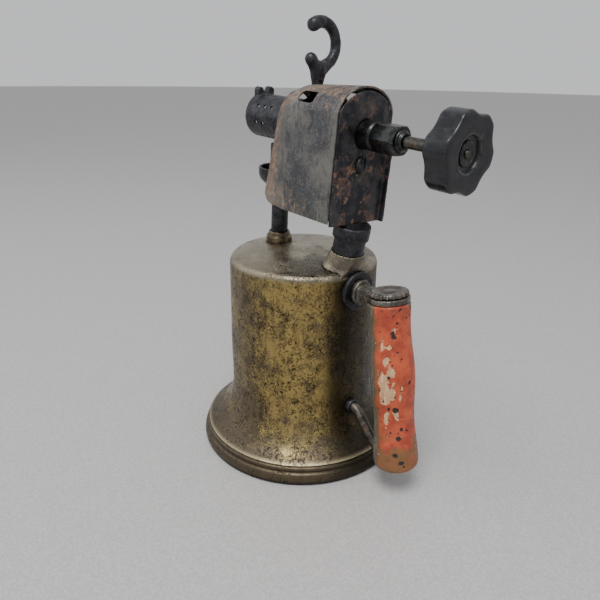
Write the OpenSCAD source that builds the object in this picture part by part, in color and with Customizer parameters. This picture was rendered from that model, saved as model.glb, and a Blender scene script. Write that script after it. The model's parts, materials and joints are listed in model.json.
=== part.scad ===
// Quart size liquid-fuel blow torch: bell-footed brass tank, hooded burner on two
// pipes, needle valve with a lobed knob, soldering-iron hook, and a pump in the handle.
// The muzzle points to -X and the knob to +X. The tank's axis is Z and it stands on Z = 0.

/* [Tank] */
// Radius of the straight wall
tank_r = 49; // [46:0.5:50]
// Sheet thickness of the tank
tank_wall = 1.3; // [1:0.1:1.6]
// Height at which the straight wall flares into the bell
bell_z = 44.5; // [43.5:0.5:45.5]
// Radius of the concave bell curve
bell_curve_r = 35.4; // [35:0.2:36.4]
// Radius of the rolled rim on the floor
rim_r = 70.2; // [69:0.1:72]
// Height of the edge where the shoulder starts
shoulder_z = 129; // [127:0.5:130]
// Height of the tank bottom's outer edge inside the bell
bottom_z = 24; // [23:1:26]
// Rise of the domed tank bottom at its centre
bottom_rise = 3; // [1:0.5:4]

/* [Burner] */
// Position along X of the burner frame's origin
burner_x = 44; // [42:0.5:46]
// Height of the burner axis at that point
burner_z = 214.6; // [212:0.2:217]
// Upward tilt of the muzzle, in degrees
burner_tilt = 2.5; // [1:0.5:4]
// Outer radius of the perforated burner tube
muzzle_r = 13.5; // [13:0.1:14]
// Wall of the burner tube
muzzle_wall = 1.5; // [1.2:0.1:2]
// Distance from the burner origin to the muzzle's end
muzzle_reach = 87.6; // [86:0.2:90]
// Distance from the burner origin to the front feed pipe
pipe_reach = 66; // [65:0.2:67]
// Outer radius of the feed pipe
pipe_r = 5.7; // [5.4:0.1:6]

/* [Hood] */
// Half width of the hood at its open bottom
hood_half = 22.5; // [22:0.1:24]
// Height of the hood's bottom edge below the burner axis
hood_drop = 49; // [48:0.1:50]
// Length of the hood in front of the burner origin
hood_front = 53.5; // [52:0.5:55]
// Length of the hood behind the burner origin
hood_back = 4; // [3.8:0.1:4.4]
// Sheet thickness of the hood
hood_wall = 1; // [0.8:0.1:1.2]

/* [Valve] */
// Radius of the valve stem
stem_r = 3.3; // [3:0.1:3.5]
// Outer radius of the knob's lobes
knob_r = 21.2; // [20.6:0.2:22]
// Thickness of the knob's rim
knob_t = 14.4; // [13:0.2:15]
// Distance from the burner origin to the knob's face
knob_face = 72.8; // [72:0.2:75]
// Distance across the packing nut's flats
packing_flats = 15; // [14:0.5:16]

/* [Handle] */
// Length of the wooden grip
grip_len = 107; // [105:0.5:109]
// Backward tilt of the grip from upright, in degrees
grip_tilt = 8.3; // [7:0.1:9]
// Position along X of the grip's lower end
grip_x = 90; // [89:0.5:92]
// Height of the grip's lower end
grip_z = 17; // [16:0.5:19]
// Inner radius of the pump barrel
barrel_r = 7; // [6.5:0.1:7.2]
// Radius of the pump rod
rod_r = 2.5; // [2.2:0.1:2.8]

/* [Hidden] */
$fn = 72;

// Colours of the finishes
brass = "#8a7340";
old_brass = "#7d6b45";
blued = "#55565a";
black_iron = "#26262a";
red_paint = "#a83a24";
dull_steel = "#6a6a60";

// Clearances: running fits, fixed fits, and the gap between separate bodies
run_gap = 0.05;
fit_gap = 0.05;

// Bell and shoulder
bell_foot_z = 14;
shoulder_r = 44.4;
dome_z = 137.5;
dome_rise = 3.2;

// Filler in the tank bottom
filler_r = 6;
filler_boss_r = 9;
filler_boss_low = 20;
filler_thread = 7.5;
filler_head_h = 6.2;
washer_t = 1.6;

// Neck that carries the burner, leaning to the back
neck_x = 38.2;
neck_z = 135;
neck_lean = 10;
neck_r = 9.8;
neck_len = 25;
neck_socket_r = 11.2;
neck_socket_low = 19.5;
seat_r = 17;
seat_low = 4;
seat_waist = [12.8, 2.5];
seat_top = 10.5;
flank_low = [46.4, 120];
flank_high = [51.7, 150];

// Burner casting
block_r = 10;
block_front = 16;
cast_back = 3.8;
vapour_drop = 22;
vapour_r = 6.5;
vapour_bore = 2.4;
socket_r = 7.2;
ring_u = 34;
ring_len = 9;
ring_r = 16.5;
jet_bore = 0.5;
jet_shank_r = 2.4;
screw_drop = 16.9;
screw_shank_r = 2.2;

// Priming cup and feed collar, measured down from the burner axis
cup_r = 14.7;
cup_wall = 1.4;
cup_rim = 30.3;
cup_knee = 38;
cup_low = 42.6;
collar_top = 73.5;
collar_step = 76.5;
collar_low = 86;
pipe_low = 184;

// Hood shape at the front and at the back
hood_roll = -3;
front_half = 15.2;
front_spring = -3;
front_top = 18.3;
back_spring = 9.5;
middle_top = 22;
hood_climb = 3.3;
blend_len = 19;
front_corner = 9;
hood_steps = 10;
arch_steps = 14;
plate_t = 1.2;
plate_half = 21.3;
plate_low = 51;
plate_spring = 12;
plate_rise = 10.8;
plate_hole_r = 8.6;
flange_out = 3.8;
flange_top = -11;
window_u = -24;
window_w = 16.6;
window_len = 13.4;
window_high = 5.4;
hook_hole_r = 5.2;

// Iron hook, and in its own plane the arc's centre, the fork and the short prong's end
hook_u = 35.5;
hook_bar = 3.5;
hook_stem = 3.4;
hook_prong_r = 3.2;
hook_knuckle = 4.9;
hook_swell = 0.5;
hook_root = 14.4;
hook_lean = -3.5;
hook_arc_r = 11.75;
hook_end = 123;
hook_centre = [1.5, 44.5];
hook_fork = [0, 29.5];
hook_prong = [-6.2, 36.2];
hook_stub_r = 5.5;
hook_stub_top = 20;

// Rest horns on the muzzle: half spacing, radius, height of their centres, and length
horn_v = 4.2;
horn_r = 2.2;
horn_w = 15.5;
horn_len = 4.6;
horn_notch_r = 2.5;

// Valve, measured along the burner axis
bonnet_r = 8;
bonnet_thread_r = 6;
bonnet_seat = 14.5;
bonnet_neck = 22;
neck_thread_r = 5.6;
packing_r = 4.7;
nut_face = 31;
nut_collar = 34;
nut_collar_r = 5;
needle_tip = -9.3;
stem_end_r = 2.2;
knob_hub_r = 8.5;
knob_hub_len = 4.5;
knob_recess_r = 9;
knob_recess = 2.6;
knob_lobes = 6;
flute_r = 17;
flute_offset = 35.8;
lobe_turn = 18;

// Pump, measured along the grip
barrel_wall = 1;
barrel_out = barrel_r + barrel_wall;
grip_bore = barrel_out + fit_gap;
ring_low = grip_len;
ring_top = grip_len + 3.4;
ring_out = 12.4;
gland_low = ring_top - 1.4;
gland_r = 10;
leather_low = 15;
leather_h = 6;
button_r = 11.4;
button_h = 3.2;
ribs = 20;
rib_r = 0.9;

// Handle bracket: pad on the tank and arm to the ring
pad_r = 12.3;
pad_z = 121.8;
pad_face = 51;
boss_r = 8;
boss_face = 54;
arm_low = 118.4;
arm_h = 7.6;
arm_half = 5;
arm_end = 65;

// Air tube from the barrel's foot to the tank, and its check valve
tube_r = 3.3;
tube_bore = 1.9;
tube_path = [[46, 40], [54.4, 40], [73.5, 19.5], [84.5, 19.5]];
body_r = 5;
body_in = 32.5;
body_out = 52;
valve_x = 38;
valve_seat_z = 48;
ball_r = 2.5;
cage_r = 4.5;
cage_top = 62;

// ---- shared geometry ----

function arc(c, r, a0, a1, n) =
    [for (i = [0:n]) let (a = a0 + (a1 - a0) * i / n) [c[0] + r * cos(a), c[1] + r * sin(a)]];

function smooth(t) = let (s = min(1, max(0, t))) s * s * (3 - 2 * s);

function mix(a, b, t) = a + (b - a) * t;

// Radius of the bell's outer curve at height z
function bell_r(z, wall) =
    tank_r + bell_curve_r - sqrt(pow(bell_curve_r + wall, 2) - pow(bell_z - z, 2));

// Outline of the bell from its foot up to the straight wall, set in by the wall
function bell(wall) =
    [for (i = [0:16]) let (z = mix(bell_foot_z, bell_z, i / 16)) [bell_r(z, wall), z]];

// Outline of the shoulder and the low dome, set in by the wall
function crown(wall) = concat(
    [[tank_r - wall, shoulder_z]],
    [for (i = [1:8]) let (a = 90 * i / 8)
        [shoulder_r + (tank_r - shoulder_r) * cos(a) - wall * cos(a),
         shoulder_z + (dome_z - dome_rise - shoulder_z) * sin(a) - wall * sin(a)]],
    [for (i = [1:6]) let (t = i / 6)
        [shoulder_r * (1 - t), dome_z - dome_rise * pow(1 - t, 2) - wall]]);

// Rolled rim with a groove and a raised ring above it
rim = [[rim_r - 3.8, 0], [rim_r - 1.6, 0], [rim_r - 0.3, 1.4], [rim_r, 4], [rim_r - 0.7, 7],
    [rim_r - 2.3, 8.8], [rim_r - 2.7, 10.2], [rim_r - 2.5, 12]];

module tank_solid() {
    rotate_extrude($fn = 144)
        polygon(concat([[0, 0]], [for (p = rim) if (p[1] >= 0) p], bell(0), crown(0)));
}

// Frame of the burner: X along the burner axis towards the knob
module burner() {
    translate([burner_x, 0, burner_z])
        rotate([0, burner_tilt, 0])
            children();
}

// The burner's frame rolled about its axis, for the hood, its plate and the hook
module hood_frame() {
    burner()
        rotate([hood_roll, 0, 0])
            children();
}

// Frame of the leaning neck: Z along the neck
module neck() {
    translate([neck_x, 0, neck_z])
        rotate([0, neck_lean, 0])
            children();
}

// Frame of the grip: Z up along the grip from its lower end
module grip() {
    translate([grip_x, 0, grip_z])
        rotate([0, -grip_tilt, 0])
            children();
}

// A round bar along X between two stations
module bar_x(x0, x1, r) {
    translate([x0, 0, 0])
        rotate([0, 90, 0])
            cylinder(h = x1 - x0, r = r);
}

module ring(z0, z1, r_out, r_in) {
    difference() {
        translate([0, 0, z0])
            cylinder(h = z1 - z0, r = r_out);
        translate([0, 0, z0 - 1])
            cylinder(h = z1 - z0 + 2, r = r_in);
    }
}

// The feed pipe's axis, Z up from the level of the burner axis
module at_pipe() {
    burner()
        translate([-pipe_reach, 0, 0])
            children();
}

// A bar between two points of the XZ plane
module link(p, q, r) {
    d = q - p;
    translate([p[0], 0, p[1]])
        rotate([0, atan2(d[0], d[1]), 0])
            cylinder(h = norm(d), r = r);
}

// Bars from point to point, with a slightly swollen ball at each elbow
module route(points, r) {
    for (i = [0:len(points) - 2])
        link(points[i], points[i + 1], r);
    for (i = [1:len(points) - 2])
        translate([points[i][0], 0, points[i][1]])
            sphere(r = r + 0.12);
}

// ---- tank ----

module tank_shell() {
    color(brass)
        difference() {
            rotate_extrude($fn = 144)
                polygon(concat(rim, bell(0), crown(0), [for (i = [1:len(crown(tank_wall))])
                    crown(tank_wall)[len(crown(tank_wall)) - i]],
                    [for (i = [1:len(bell(tank_wall))]) bell(tank_wall)[len(bell(tank_wall)) - i]]));
            at_pipe()
                translate([0, 0, -collar_low - 10])
                    cylinder(h = 20, r = pipe_r + fit_gap);
            neck()
                translate([0, 0, -10])
                    cylinder(h = 22, r = neck_r + fit_gap);
            translate([0, 0, tube_path[0][1]])
                bar_x(40, 60, body_r + fit_gap);
        }
}

module tank_bottom() {
    color(old_brass)
        difference() {
            rotate_extrude($fn = 144)
                polygon(concat(
                    [for (i = [0:8]) let (t = i / 8)
                        [t * bell_r(bottom_z, tank_wall), bottom_z + bottom_rise * (1 - t * t)]],
                    [for (i = [0:8]) let (t = 1 - i / 8)
                        [t * bell_r(bottom_z + tank_wall, tank_wall),
                         bottom_z + tank_wall + bottom_rise * (1 - t * t)]]));
            cylinder(h = 60, r = filler_boss_r + fit_gap);
        }
}

module filler_boss() {
    color(brass)
        ring(filler_boss_low, bottom_z + bottom_rise + 4, filler_boss_r, filler_r + run_gap);
}

module filler_washer() {
    color("#4a3524")
        ring(filler_boss_low - 0.1 - washer_t, filler_boss_low - 0.1, filler_boss_r,
            filler_r + run_gap);
}

module filler_plug() {
    head_top = filler_boss_low - 0.2 - washer_t;
    color(brass)
        difference() {
            union() {
                translate([0, 0, head_top - filler_head_h])
                    cylinder(h = filler_head_h, r = filler_boss_r + 1, $fn = 6);
                translate([0, 0, head_top - 1])
                    cylinder(h = filler_boss_low + filler_thread - head_top + 1, r = filler_r);
            }
            translate([-20, -1.2, head_top - filler_head_h - 1])
                cube([40, 2.4, 3.4]);
        }
}

// ---- pipes, neck and casting ----

module feed_collar() {
    color(old_brass)
        difference() {
            at_pipe() {
                ring(-collar_low, -collar_step, 8.8, pipe_r + fit_gap);
                ring(-collar_step, -collar_top, 7.4, pipe_r + fit_gap);
            }
            tank_solid();
        }
}

module feed_pipe() {
    color(black_iron)
        at_pipe()
            difference() {
                translate([0, 0, -pipe_low])
                    cylinder(h = pipe_low - vapour_drop, r = pipe_r);
                translate([0, 0, -pipe_low - 1])
                    cylinder(h = pipe_low + 2, r = pipe_r - 1.4);
            }
}

module feed_wick() {
    color("#b8ad94")
        at_pipe()
            translate([0, 0, -pipe_low + 1])
                cylinder(h = pipe_low - 45, r = pipe_r - 1.4 - fit_gap);
}

module neck_bush() {
    color(brass)
        difference() {
            intersection() {
                neck()
                    rotate_extrude()
                        polygon([[0, -seat_low], [seat_r, -seat_low], seat_waist,
                            [neck_r + 0.6, seat_top], [0, seat_top]]);
                seat_flank(0);
            }
            tank_solid();
            neck()
                translate([0, 0, -20])
                    cylinder(h = 60, r = neck_r + fit_gap);
        }
}

// Cone about the tank's axis that carries the shoulder on upwards beside the neck
module seat_flank(grow) {
    translate([0, 0, flank_low[1]])
        cylinder(h = flank_high[1] - flank_low[1], r1 = flank_low[0] + grow,
            r2 = flank_high[0] + grow, $fn = 144);
}

module burner_neck() {
    color(black_iron)
        neck()
            ring(-6, neck_len, neck_r, 5);
}

module burner_casting() {
    color(black_iron)
        difference() {
            union() {
                neck()
                    translate([0, 0, neck_socket_low])
                        cylinder(h = 8.5, r = neck_socket_r);
                hood_frame()
                    translate([-hook_u, 0, 0])
                        cylinder(h = hook_stub_top, r = hook_stub_r);
                burner() {
                    translate([-13, -8, -53])
                        cube([13 + cast_back, 16, 48]);
                    bar_x(-block_front, cast_back, block_r);
                    translate([0, 0, -vapour_drop])
                        bar_x(-pipe_reach, -8, vapour_r);
                    translate([-pipe_reach, 0, -cup_rim + 2])
                        cylinder(h = cup_rim - 2 - vapour_drop + vapour_r, r = socket_r);
                    bar_x(-ring_u - ring_len / 2, -ring_u + ring_len / 2, ring_r);
                }
            }
            burner_bores();
            neck()
                translate([0, 0, -5])
                    cylinder(h = neck_len + 5, r = neck_r + fit_gap);
        }
}

module burner_bores() {
    burner() {
        bar_x(-60, -17, muzzle_r + fit_gap);
        bar_x(-4, cast_back + 1, bonnet_thread_r + fit_gap);
        bar_x(-9, -3, stem_r + 0.15);
        bar_x(-block_front - 1, -8, 1);
        bar_x(-block_front - 1, -block_front + 4, jet_shank_r + fit_gap);
        translate([0, 0, -vapour_drop])
            bar_x(-pipe_reach, -4, vapour_bore);
        translate([-6, 0, -vapour_drop])
            cylinder(h = vapour_drop, r = 1.6);
        translate([-pipe_reach, 0, -cup_rim])
            cylinder(h = cup_rim - vapour_drop, r = pipe_r + fit_gap);
    }
    hood_frame() {
        translate([0, 0, -screw_drop])
            bar_x(-7, cast_back + 1, screw_shank_r + fit_gap);
        translate([-hook_u, 0, 0])
            rotate([0, hook_lean, 0])
                translate([0, 0, hook_root - 0.2])
                    cylinder(h = 12, r = hook_stem + fit_gap);
    }
}

module gas_jet() {
    color(brass)
        burner()
            difference() {
                union() {
                    bar_x(-block_front, -block_front + 3.8, jet_shank_r);
                    bar_x_hex(-block_front - 3.2, -block_front, 4);
                    bar_x(-block_front - 5, -block_front - 3.2, 1.8);
                }
                bar_x(-40, 0, jet_bore);
            }
}

// A hexagonal bar along X, r to its corners
module bar_x_hex(x0, x1, r) {
    translate([x0, 0, 0])
        rotate([0, 90, 0])
            cylinder(h = x1 - x0, r = r, $fn = 6);
}

module burner_tube() {
    color(black_iron)
        burner()
            difference() {
                union() {
                    bar_x(-muzzle_reach, -26, muzzle_r);
                    rest_horns();
                }
                bar_x(-muzzle_reach - 1, -25, muzzle_r - muzzle_wall);
                air_holes();
            }
}

// Two rounded lugs with a notch between them, where the iron's tip rests
module rest_horns() {
    half = horn_v + horn_r;
    root = muzzle_r - 4;
    translate([0.2 - muzzle_reach, 0, 0])
        rotate([90, 0, 90])
            linear_extrude(height = horn_len)
                difference() {
                    union() {
                        for (side = [-1, 1])
                            translate([side * horn_v, horn_w])
                                circle(r = horn_r);
                        translate([-half, root])
                            square([2 * half, horn_w - root]);
                    }
                    translate([0, horn_w + 1.6])
                        circle(r = horn_notch_r);
                }
}

// Rings of small holes round the front of the tube, spaced between the horns
module air_holes() {
    for (u = [-77, -70.5, -64])
        for (k = [0:3])
            translate([u, 0, 0])
                rotate([12.5 + 45 * k, 0, 0])
                    translate([0, 0, -20])
                        cylinder(h = 40, r = 1.1, $fn = 24);
}

module iron_hook() {
    color(black_iron)
        hood_frame()
            translate([-hook_u, 0, 0])
                rotate([0, hook_lean, 0]) {
                    translate([0, 0, hook_root])
                        cylinder(h = hook_fork[1] - hook_root - hook_knuckle + 1.6, r = hook_stem);
                    rotate([90, 0, 90])
                        hook_curve();
                }
}

// The hook in its own plane, X sideways and Y up: a straight bar from the fork that runs
// on into the arc, and a short prong on the other side. A ball joins the bars at each knuckle
module hook_curve() {
    away = hook_fork - hook_centre;
    start = atan2(away[1], away[0]) + acos(hook_arc_r / norm(away));
    low = hook_centre + hook_arc_r * [cos(start), sin(start)];
    tip = hook_centre + hook_arc_r * [cos(hook_end), sin(hook_end)];
    translate([hook_centre[0], hook_centre[1], 0])
        rotate([0, 0, start + 4])
            rotate_extrude(angle = hook_end - start - 4, $fn = 96)
                translate([hook_arc_r, 0])
                    circle(r = hook_bar, $fn = 48);
    flat_bar(hook_fork, low, hook_knuckle - 1.6, hook_bar);
    flat_bar(hook_fork, hook_prong, hook_knuckle - 1.6, hook_prong_r);
    knob_ball(hook_fork, hook_knuckle);
    knob_ball(low, hook_bar + hook_swell);
    knob_ball(tip, hook_bar + hook_swell);
    knob_ball(hook_prong, hook_prong_r + hook_swell);
}

// A round bar of the hook's plane from p to just short of q, starting at a distance from p
module flat_bar(p, q, from, r) {
    d = q - p;
    translate([p[0], p[1], 0])
        rotate([0, 0, atan2(d[1], d[0])])
            rotate([0, 90, 0])
                translate([0, 0, from])
                    cylinder(h = norm(d) - from - 0.7, r = r, $fn = 48);
}

module knob_ball(p, r) {
    translate([p[0], p[1], 0])
        sphere(r = r, $fn = 48);
}

// ---- hood ----

// Share of the back's shape at a distance u behind the hood's front edge
function hood_share(u) = smooth(u / blend_len);

// Height of the hood's ridge: a quick rise behind the front edge, then a slow climb
function hood_top(u) = mix(front_top, middle_top, hood_share(u)) +
    hood_climb * u / (hood_front + hood_back);

// Bottom edge of the hood, rounded up at the front corner
function hood_foot(u) = -hood_drop +
    (u < front_corner ? front_corner - sqrt(max(0, pow(front_corner, 2) -
        pow(front_corner - u, 2))) : 0);

// Half outline of the hood at distance u from its front edge, from the foot to the top
function hood_side(u, wall) =
    let (s = hood_share(u), half = mix(front_half, hood_half, s) - wall,
        spring = mix(front_spring, back_spring, s), rise = hood_top(u) - spring - wall,
        foot = hood_foot(u), foot_half = mix(hood_half - wall, half, s),
        lean = (foot + hood_drop) / (spring + hood_drop))
    concat([[mix(foot_half, half, lean), foot]],
        [for (i = [0:arch_steps]) let (a = 90 * i / arch_steps)
            [half * cos(a), spring + rise * sin(a)]]);

// Closed loop of one cross-section: the outer outline, then the inner one back
function hood_loop(u) =
    let (o = hood_side(u, 0), i = hood_side(u, hood_wall))
    concat(o, flipped(o), [for (p = i) [-p[0], p[1]]], [for (p = flipped(i)) [-p[0], p[1]]]);

// The other half of an outline, from the top back down, without the top point
function flipped(side) = [for (k = [len(side) - 2:-1:0]) [-side[k][0], side[k][1]]];

// Stations along the hood, closer together over the front corner
function hood_stations() = concat(
    [for (i = [0:hood_steps]) (front_corner + blend_len) * pow(i / hood_steps, 1.5)],
    [hood_front + hood_back]);

module hood_sheet() {
    stations = hood_stations();
    loops = [for (u = stations) hood_loop(u)];
    n = len(loops[0]);
    m = len(stations);
    points = [for (j = [0:m - 1]) for (p = loops[j]) [stations[j] - hood_front, p[0], p[1]]];
    walls = [for (j = [0:m - 2]) for (k = [0:n - 1]) let (a = j * n + k, b = j * n + (k + 1) % n)
        each [[a, b, a + n], [b, b + n, a + n]]];
    half = n / 2;
    caps = [for (k = [0:half - 2]) let (a = k, b = k + 1, c = n - 2 - k, d = n - 1 - k)
        each [[a, d, c], [a, c, b]]];
    ends = [for (t = caps) [t[0] + (m - 1) * n, t[2] + (m - 1) * n, t[1] + (m - 1) * n]];
    polyhedron(points = points, faces = concat(walls, caps, ends), convexity = 6);
}

module hood_shell() {
    color(blued)
        hood_frame()
            difference() {
                hood_sheet();
                translate([-hook_u, 0, 15])
                    cylinder(h = 20, r = hook_hole_r);
                for (side = [-1, 1])
                    translate([window_u, side * 20, window_w])
                        rotate([0, 90, 90])
                            translate([0, 0, -7])
                                rounded_slot(window_len, window_high, 14);
            }
}

// A rounded rectangular cutter centred on the origin, long side along Y
module rounded_slot(length, width, depth) {
    r = width / 2 - 0.8;
    for (side = [-1, 1])
        translate([0, side * (length / 2 - r), 0])
            cylinder(h = depth, r = r, $fn = 24);
    translate([-width / 2 + 0.8, -length / 2 + r, 0])
        cube([width - 1.6, length - 2 * r, depth]);
}

module rear_plate() {
    arch_r = (pow(plate_half, 2) + pow(plate_rise, 2)) / (2 * plate_rise);
    half_angle = asin(plate_half / arch_r);
    color(black_iron)
        hood_frame()
            difference() {
                union() {
                    translate([cast_back, 0, 0])
                        rotate([90, 0, 90])
                            linear_extrude(height = plate_t)
                                polygon(concat([[-plate_half, -plate_low], [plate_half, -plate_low]],
                                    arc([0, plate_spring + plate_rise - arch_r], arch_r,
                                        90 - half_angle, 90 + half_angle, 24)));
                    translate([cast_back, plate_half - plate_t, -plate_low])
                        cube([plate_t + flange_out, plate_t, plate_low + flange_top]);
                }
                bar_x(0, 10, plate_hole_r);
                translate([0, 0, -screw_drop])
                    bar_x(0, 10, screw_shank_r + fit_gap);
            }
}

module plate_screw() {
    face = cast_back + plate_t;
    color(black_iron)
        hood_frame()
            translate([0, 0, -screw_drop])
                difference() {
                    union() {
                        bar_x(face, face + 1.2, 5.2);
                        bar_x(face + 1.2, face + 2.2, 4.2);
                        bar_x(-5, face, screw_shank_r);
                    }
                    translate([face + 1, -0.6, -10])
                        cube([3, 1.2, 20]);
                }
}

module priming_cup() {
    color(black_iron)
        at_pipe()
            rotate_extrude()
                polygon([[pipe_r + fit_gap, -cup_low], [8.2, -cup_low], [cup_r - 0.6, -cup_knee],
                    [cup_r, -cup_knee + 1.5], [cup_r, -cup_rim], [cup_r - cup_wall, -cup_rim],
                    [cup_r - cup_wall, -cup_knee + 1.8], [8, -cup_low + 2.4],
                    [pipe_r + 2, -cup_low + 4], [pipe_r + fit_gap, -cup_low + 4]]);
}

// ---- valve ----

module valve_bonnet() {
    color(dull_steel)
        burner()
            difference() {
                union() {
                    bar_x(-3.6, cast_back, bonnet_thread_r);
                    bar_x(cast_back, bonnet_seat, bonnet_r);
                    bar_x(bonnet_seat, bonnet_neck, neck_thread_r);
                }
                bar_x(-5, 30, stem_r + 0.15);
                bar_x(bonnet_seat + 1.5, 30, packing_r + fit_gap);
            }
}

module valve_packing() {
    color("#2f2f2f")
        burner()
            difference() {
                bar_x(bonnet_seat + 1.6, bonnet_neck + 0.4, packing_r);
                bar_x(0, 40, stem_r + run_gap);
            }
}

module packing_nut() {
    color(dull_steel)
        burner()
            difference() {
                union() {
                    bar_x_hex(bonnet_seat + 0.3, nut_face, packing_flats / sqrt(3));
                    bar_x(nut_face, nut_collar, nut_collar_r);
                }
                bar_x(0, bonnet_neck + 0.5, neck_thread_r + fit_gap);
                bar_x(0, 50, stem_r + 0.08);
            }
}

module valve_stem() {
    back = knob_face - knob_t;
    color(dull_steel)
        burner() {
            bar_x(-4.8, back, stem_r);
            bar_x(back, knob_face - 1, stem_end_r);
            translate([needle_tip, 0, 0])
                rotate([0, 90, 0])
                    cylinder(h = -4.8 - needle_tip, r1 = 0.5, r2 = 2.4);
        }
}

module valve_knob() {
    back = knob_face - knob_t;
    color("#141416")
        burner()
            difference() {
                union() {
                    translate([back, 0, 0])
                        rotate([0, 90, 0])
                            linear_extrude(height = knob_t)
                                knob_outline();
                    bar_x(back - knob_hub_len, back + 1, knob_hub_r);
                }
                bar_x(back - knob_hub_len - 1, back + run_gap, stem_r + run_gap);
                bar_x(back - 1, knob_face + 1, stem_end_r + run_gap);
                bar_x(knob_face - knob_recess, knob_face + 1, knob_recess_r);
            }
}

// Lobed outline, one lobe close to the top
module knob_outline() {
    rotate(180 + lobe_turn)
        difference() {
            circle(r = knob_r, $fn = 96);
            for (k = [0:knob_lobes - 1])
                rotate(180 / knob_lobes + 360 / knob_lobes * k)
                    translate([flute_offset, 0])
                        circle(r = flute_r, $fn = 64);
        }
}

module knob_ring() {
    face = knob_face - knob_recess;
    color("#5a564c")
        burner()
            difference() {
                bar_x(face, face + 1, 6.4);
                bar_x(face - 1, face + 2, stem_end_r + run_gap);
            }
}

// ---- handle ----

module bracket_pad() {
    color(black_iron)
        difference() {
            translate([0, 0, pad_z])
                bar_x(40, pad_face, pad_r);
            tank_solid();
            seat_flank(0.1);
        }
}

module handle_bracket() {
    color("#5b5348")
        difference() {
            union() {
                translate([0, 0, pad_z])
                    bar_x(pad_face, boss_face, boss_r);
                translate([pad_face, -arm_half, arm_low])
                    cube([arm_end - pad_face, 2 * arm_half, arm_h]);
                grip()
                    translate([0, 0, ring_low])
                        cylinder(h = ring_top - ring_low, r = ring_out);
            }
            grip() {
                translate([0, 0, ring_low - 30])
                    cylinder(h = 30, r = ring_out + 1);
                translate([0, 0, ring_low - 20])
                    cylinder(h = 40, r = barrel_out + fit_gap);
                translate([0, 0, gland_low - fit_gap])
                    cylinder(h = 20, r = gland_r + fit_gap);
                translate([0, 0, ring_top + fit_gap])
                    cylinder(h = 20, r = button_r + rib_r + 0.4);
            }
        }
}

// Turned profile of the wooden grip: rounded foot, waist, palm swell, slim top
module handle_grip() {
    color(red_paint)
        grip()
            difference() {
                rotate_extrude($fn = 96)
                    polygon(concat([[0, 0], [9.5, 0]],
                        arc([10.6, 3.4], 3.4, -70, -10, 6),
                        [for (i = [0:20]) let (s = mix(5, grip_len - 2, i / 20)) [grip_r(s), s]],
                        [[grip_r(grip_len) - 0.6, grip_len - 0.6], [grip_r(grip_len) - 1.6, grip_len],
                            [0, grip_len]]));
                translate([0, 0, -1])
                    cylinder(h = grip_len + 2, r = grip_bore);
                foot_socket(tube_r + 0.3);
            }
}

// Radius of the grip at height s: a wave over a slow taper
function grip_r(s) = 13.55 - 0.006 * s + 0.75 * cos(360 * (s - 4) / 58);

// Undoes the grip's frame for a shape given in the torch's own frame
module ungrip() {
    rotate([0, grip_tilt, 0])
        translate([-grip_x, 0, -grip_z])
            children();
}

// The air tube's last stretch, which runs level into the barrel's foot
module foot_socket(r) {
    ungrip()
        translate([0, 0, tube_path[3][1]])
            bar_x(70, tube_path[3][0], r);
}

module pump_barrel() {
    color(brass)
        grip()
            difference() {
                ring(1, gland_low - 0.1, barrel_out, barrel_r);
                foot_socket(tube_r + 0.3);
            }
}

module pump_gland() {
    color(old_brass)
        grip()
            difference() {
                union() {
                    translate([0, 0, gland_low])
                        cylinder(h = ring_top - gland_low, r = gland_r);
                    translate([0, 0, gland_low - 7])
                        cylinder(h = 8, r = barrel_r - fit_gap);
                }
                cylinder(h = 200, r = rod_r + run_gap);
            }
}

module pump_rod() {
    color("#8f8f8c")
        grip()
            translate([0, 0, leather_low - 6])
                cylinder(h = ring_top + 2.4 - leather_low + 6, r = rod_r);
}

module pump_button() {
    low = ring_top + 0.35;
    color("#4d4940")
        grip()
            difference() {
                union() {
                    translate([0, 0, low])
                        cylinder(h = button_h, r = button_r);
                    for (k = [0:ribs - 1])
                        rotate(360 / ribs * k)
                            translate([button_r, 0, low])
                                cylinder(h = button_h, r = rib_r, $fn = 16);
                }
                translate([0, 0, low - 1])
                    cylinder(h = 3.1, r = rod_r + fit_gap);
            }
}

module plunger_leather() {
    color("#5a4030")
        grip()
            difference() {
                ring(leather_low, leather_low + leather_h, barrel_r - run_gap, rod_r + fit_gap);
                translate([0, 0, leather_low - 1])
                    cylinder(h = leather_h - 1, r = barrel_r - 1.4);
            }
}

module plunger_washer() {
    color(brass)
        grip()
            ring(leather_low + leather_h - 3.2, leather_low + leather_h - 2, barrel_r - 1.6,
                rod_r + fit_gap);
}

module plunger_nut() {
    low = leather_low - 1;
    color(brass)
        grip()
            difference() {
                translate([0, 0, low])
                    cylinder(h = leather_h - 2.4, r = 4.6, $fn = 6);
                translate([0, 0, low - 1])
                    cylinder(h = 10, r = rod_r + fit_gap);
            }
}

// Plug in the barrel's lower end, with a socket for the air tube
module barrel_foot() {
    color(old_brass)
        grip()
            difference() {
                union() {
                    translate([0, 0, -1.6])
                        cylinder(h = 1.6, r = barrel_out + 1);
                    translate([0, 0, -0.5])
                        cylinder(h = 8.5, r = barrel_r - fit_gap);
                }
                translate([0, 0, 2.5])
                    cylinder(h = 10, r = 1.5);
                foot_socket(tube_r + fit_gap);
            }
}

module air_tube() {
    color(black_iron)
        difference() {
            route(tube_path, tube_r);
            route(concat([tube_path[0] - [16, 0]], [for (i = [1:3]) tube_path[i]]), tube_bore);
        }
}

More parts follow.
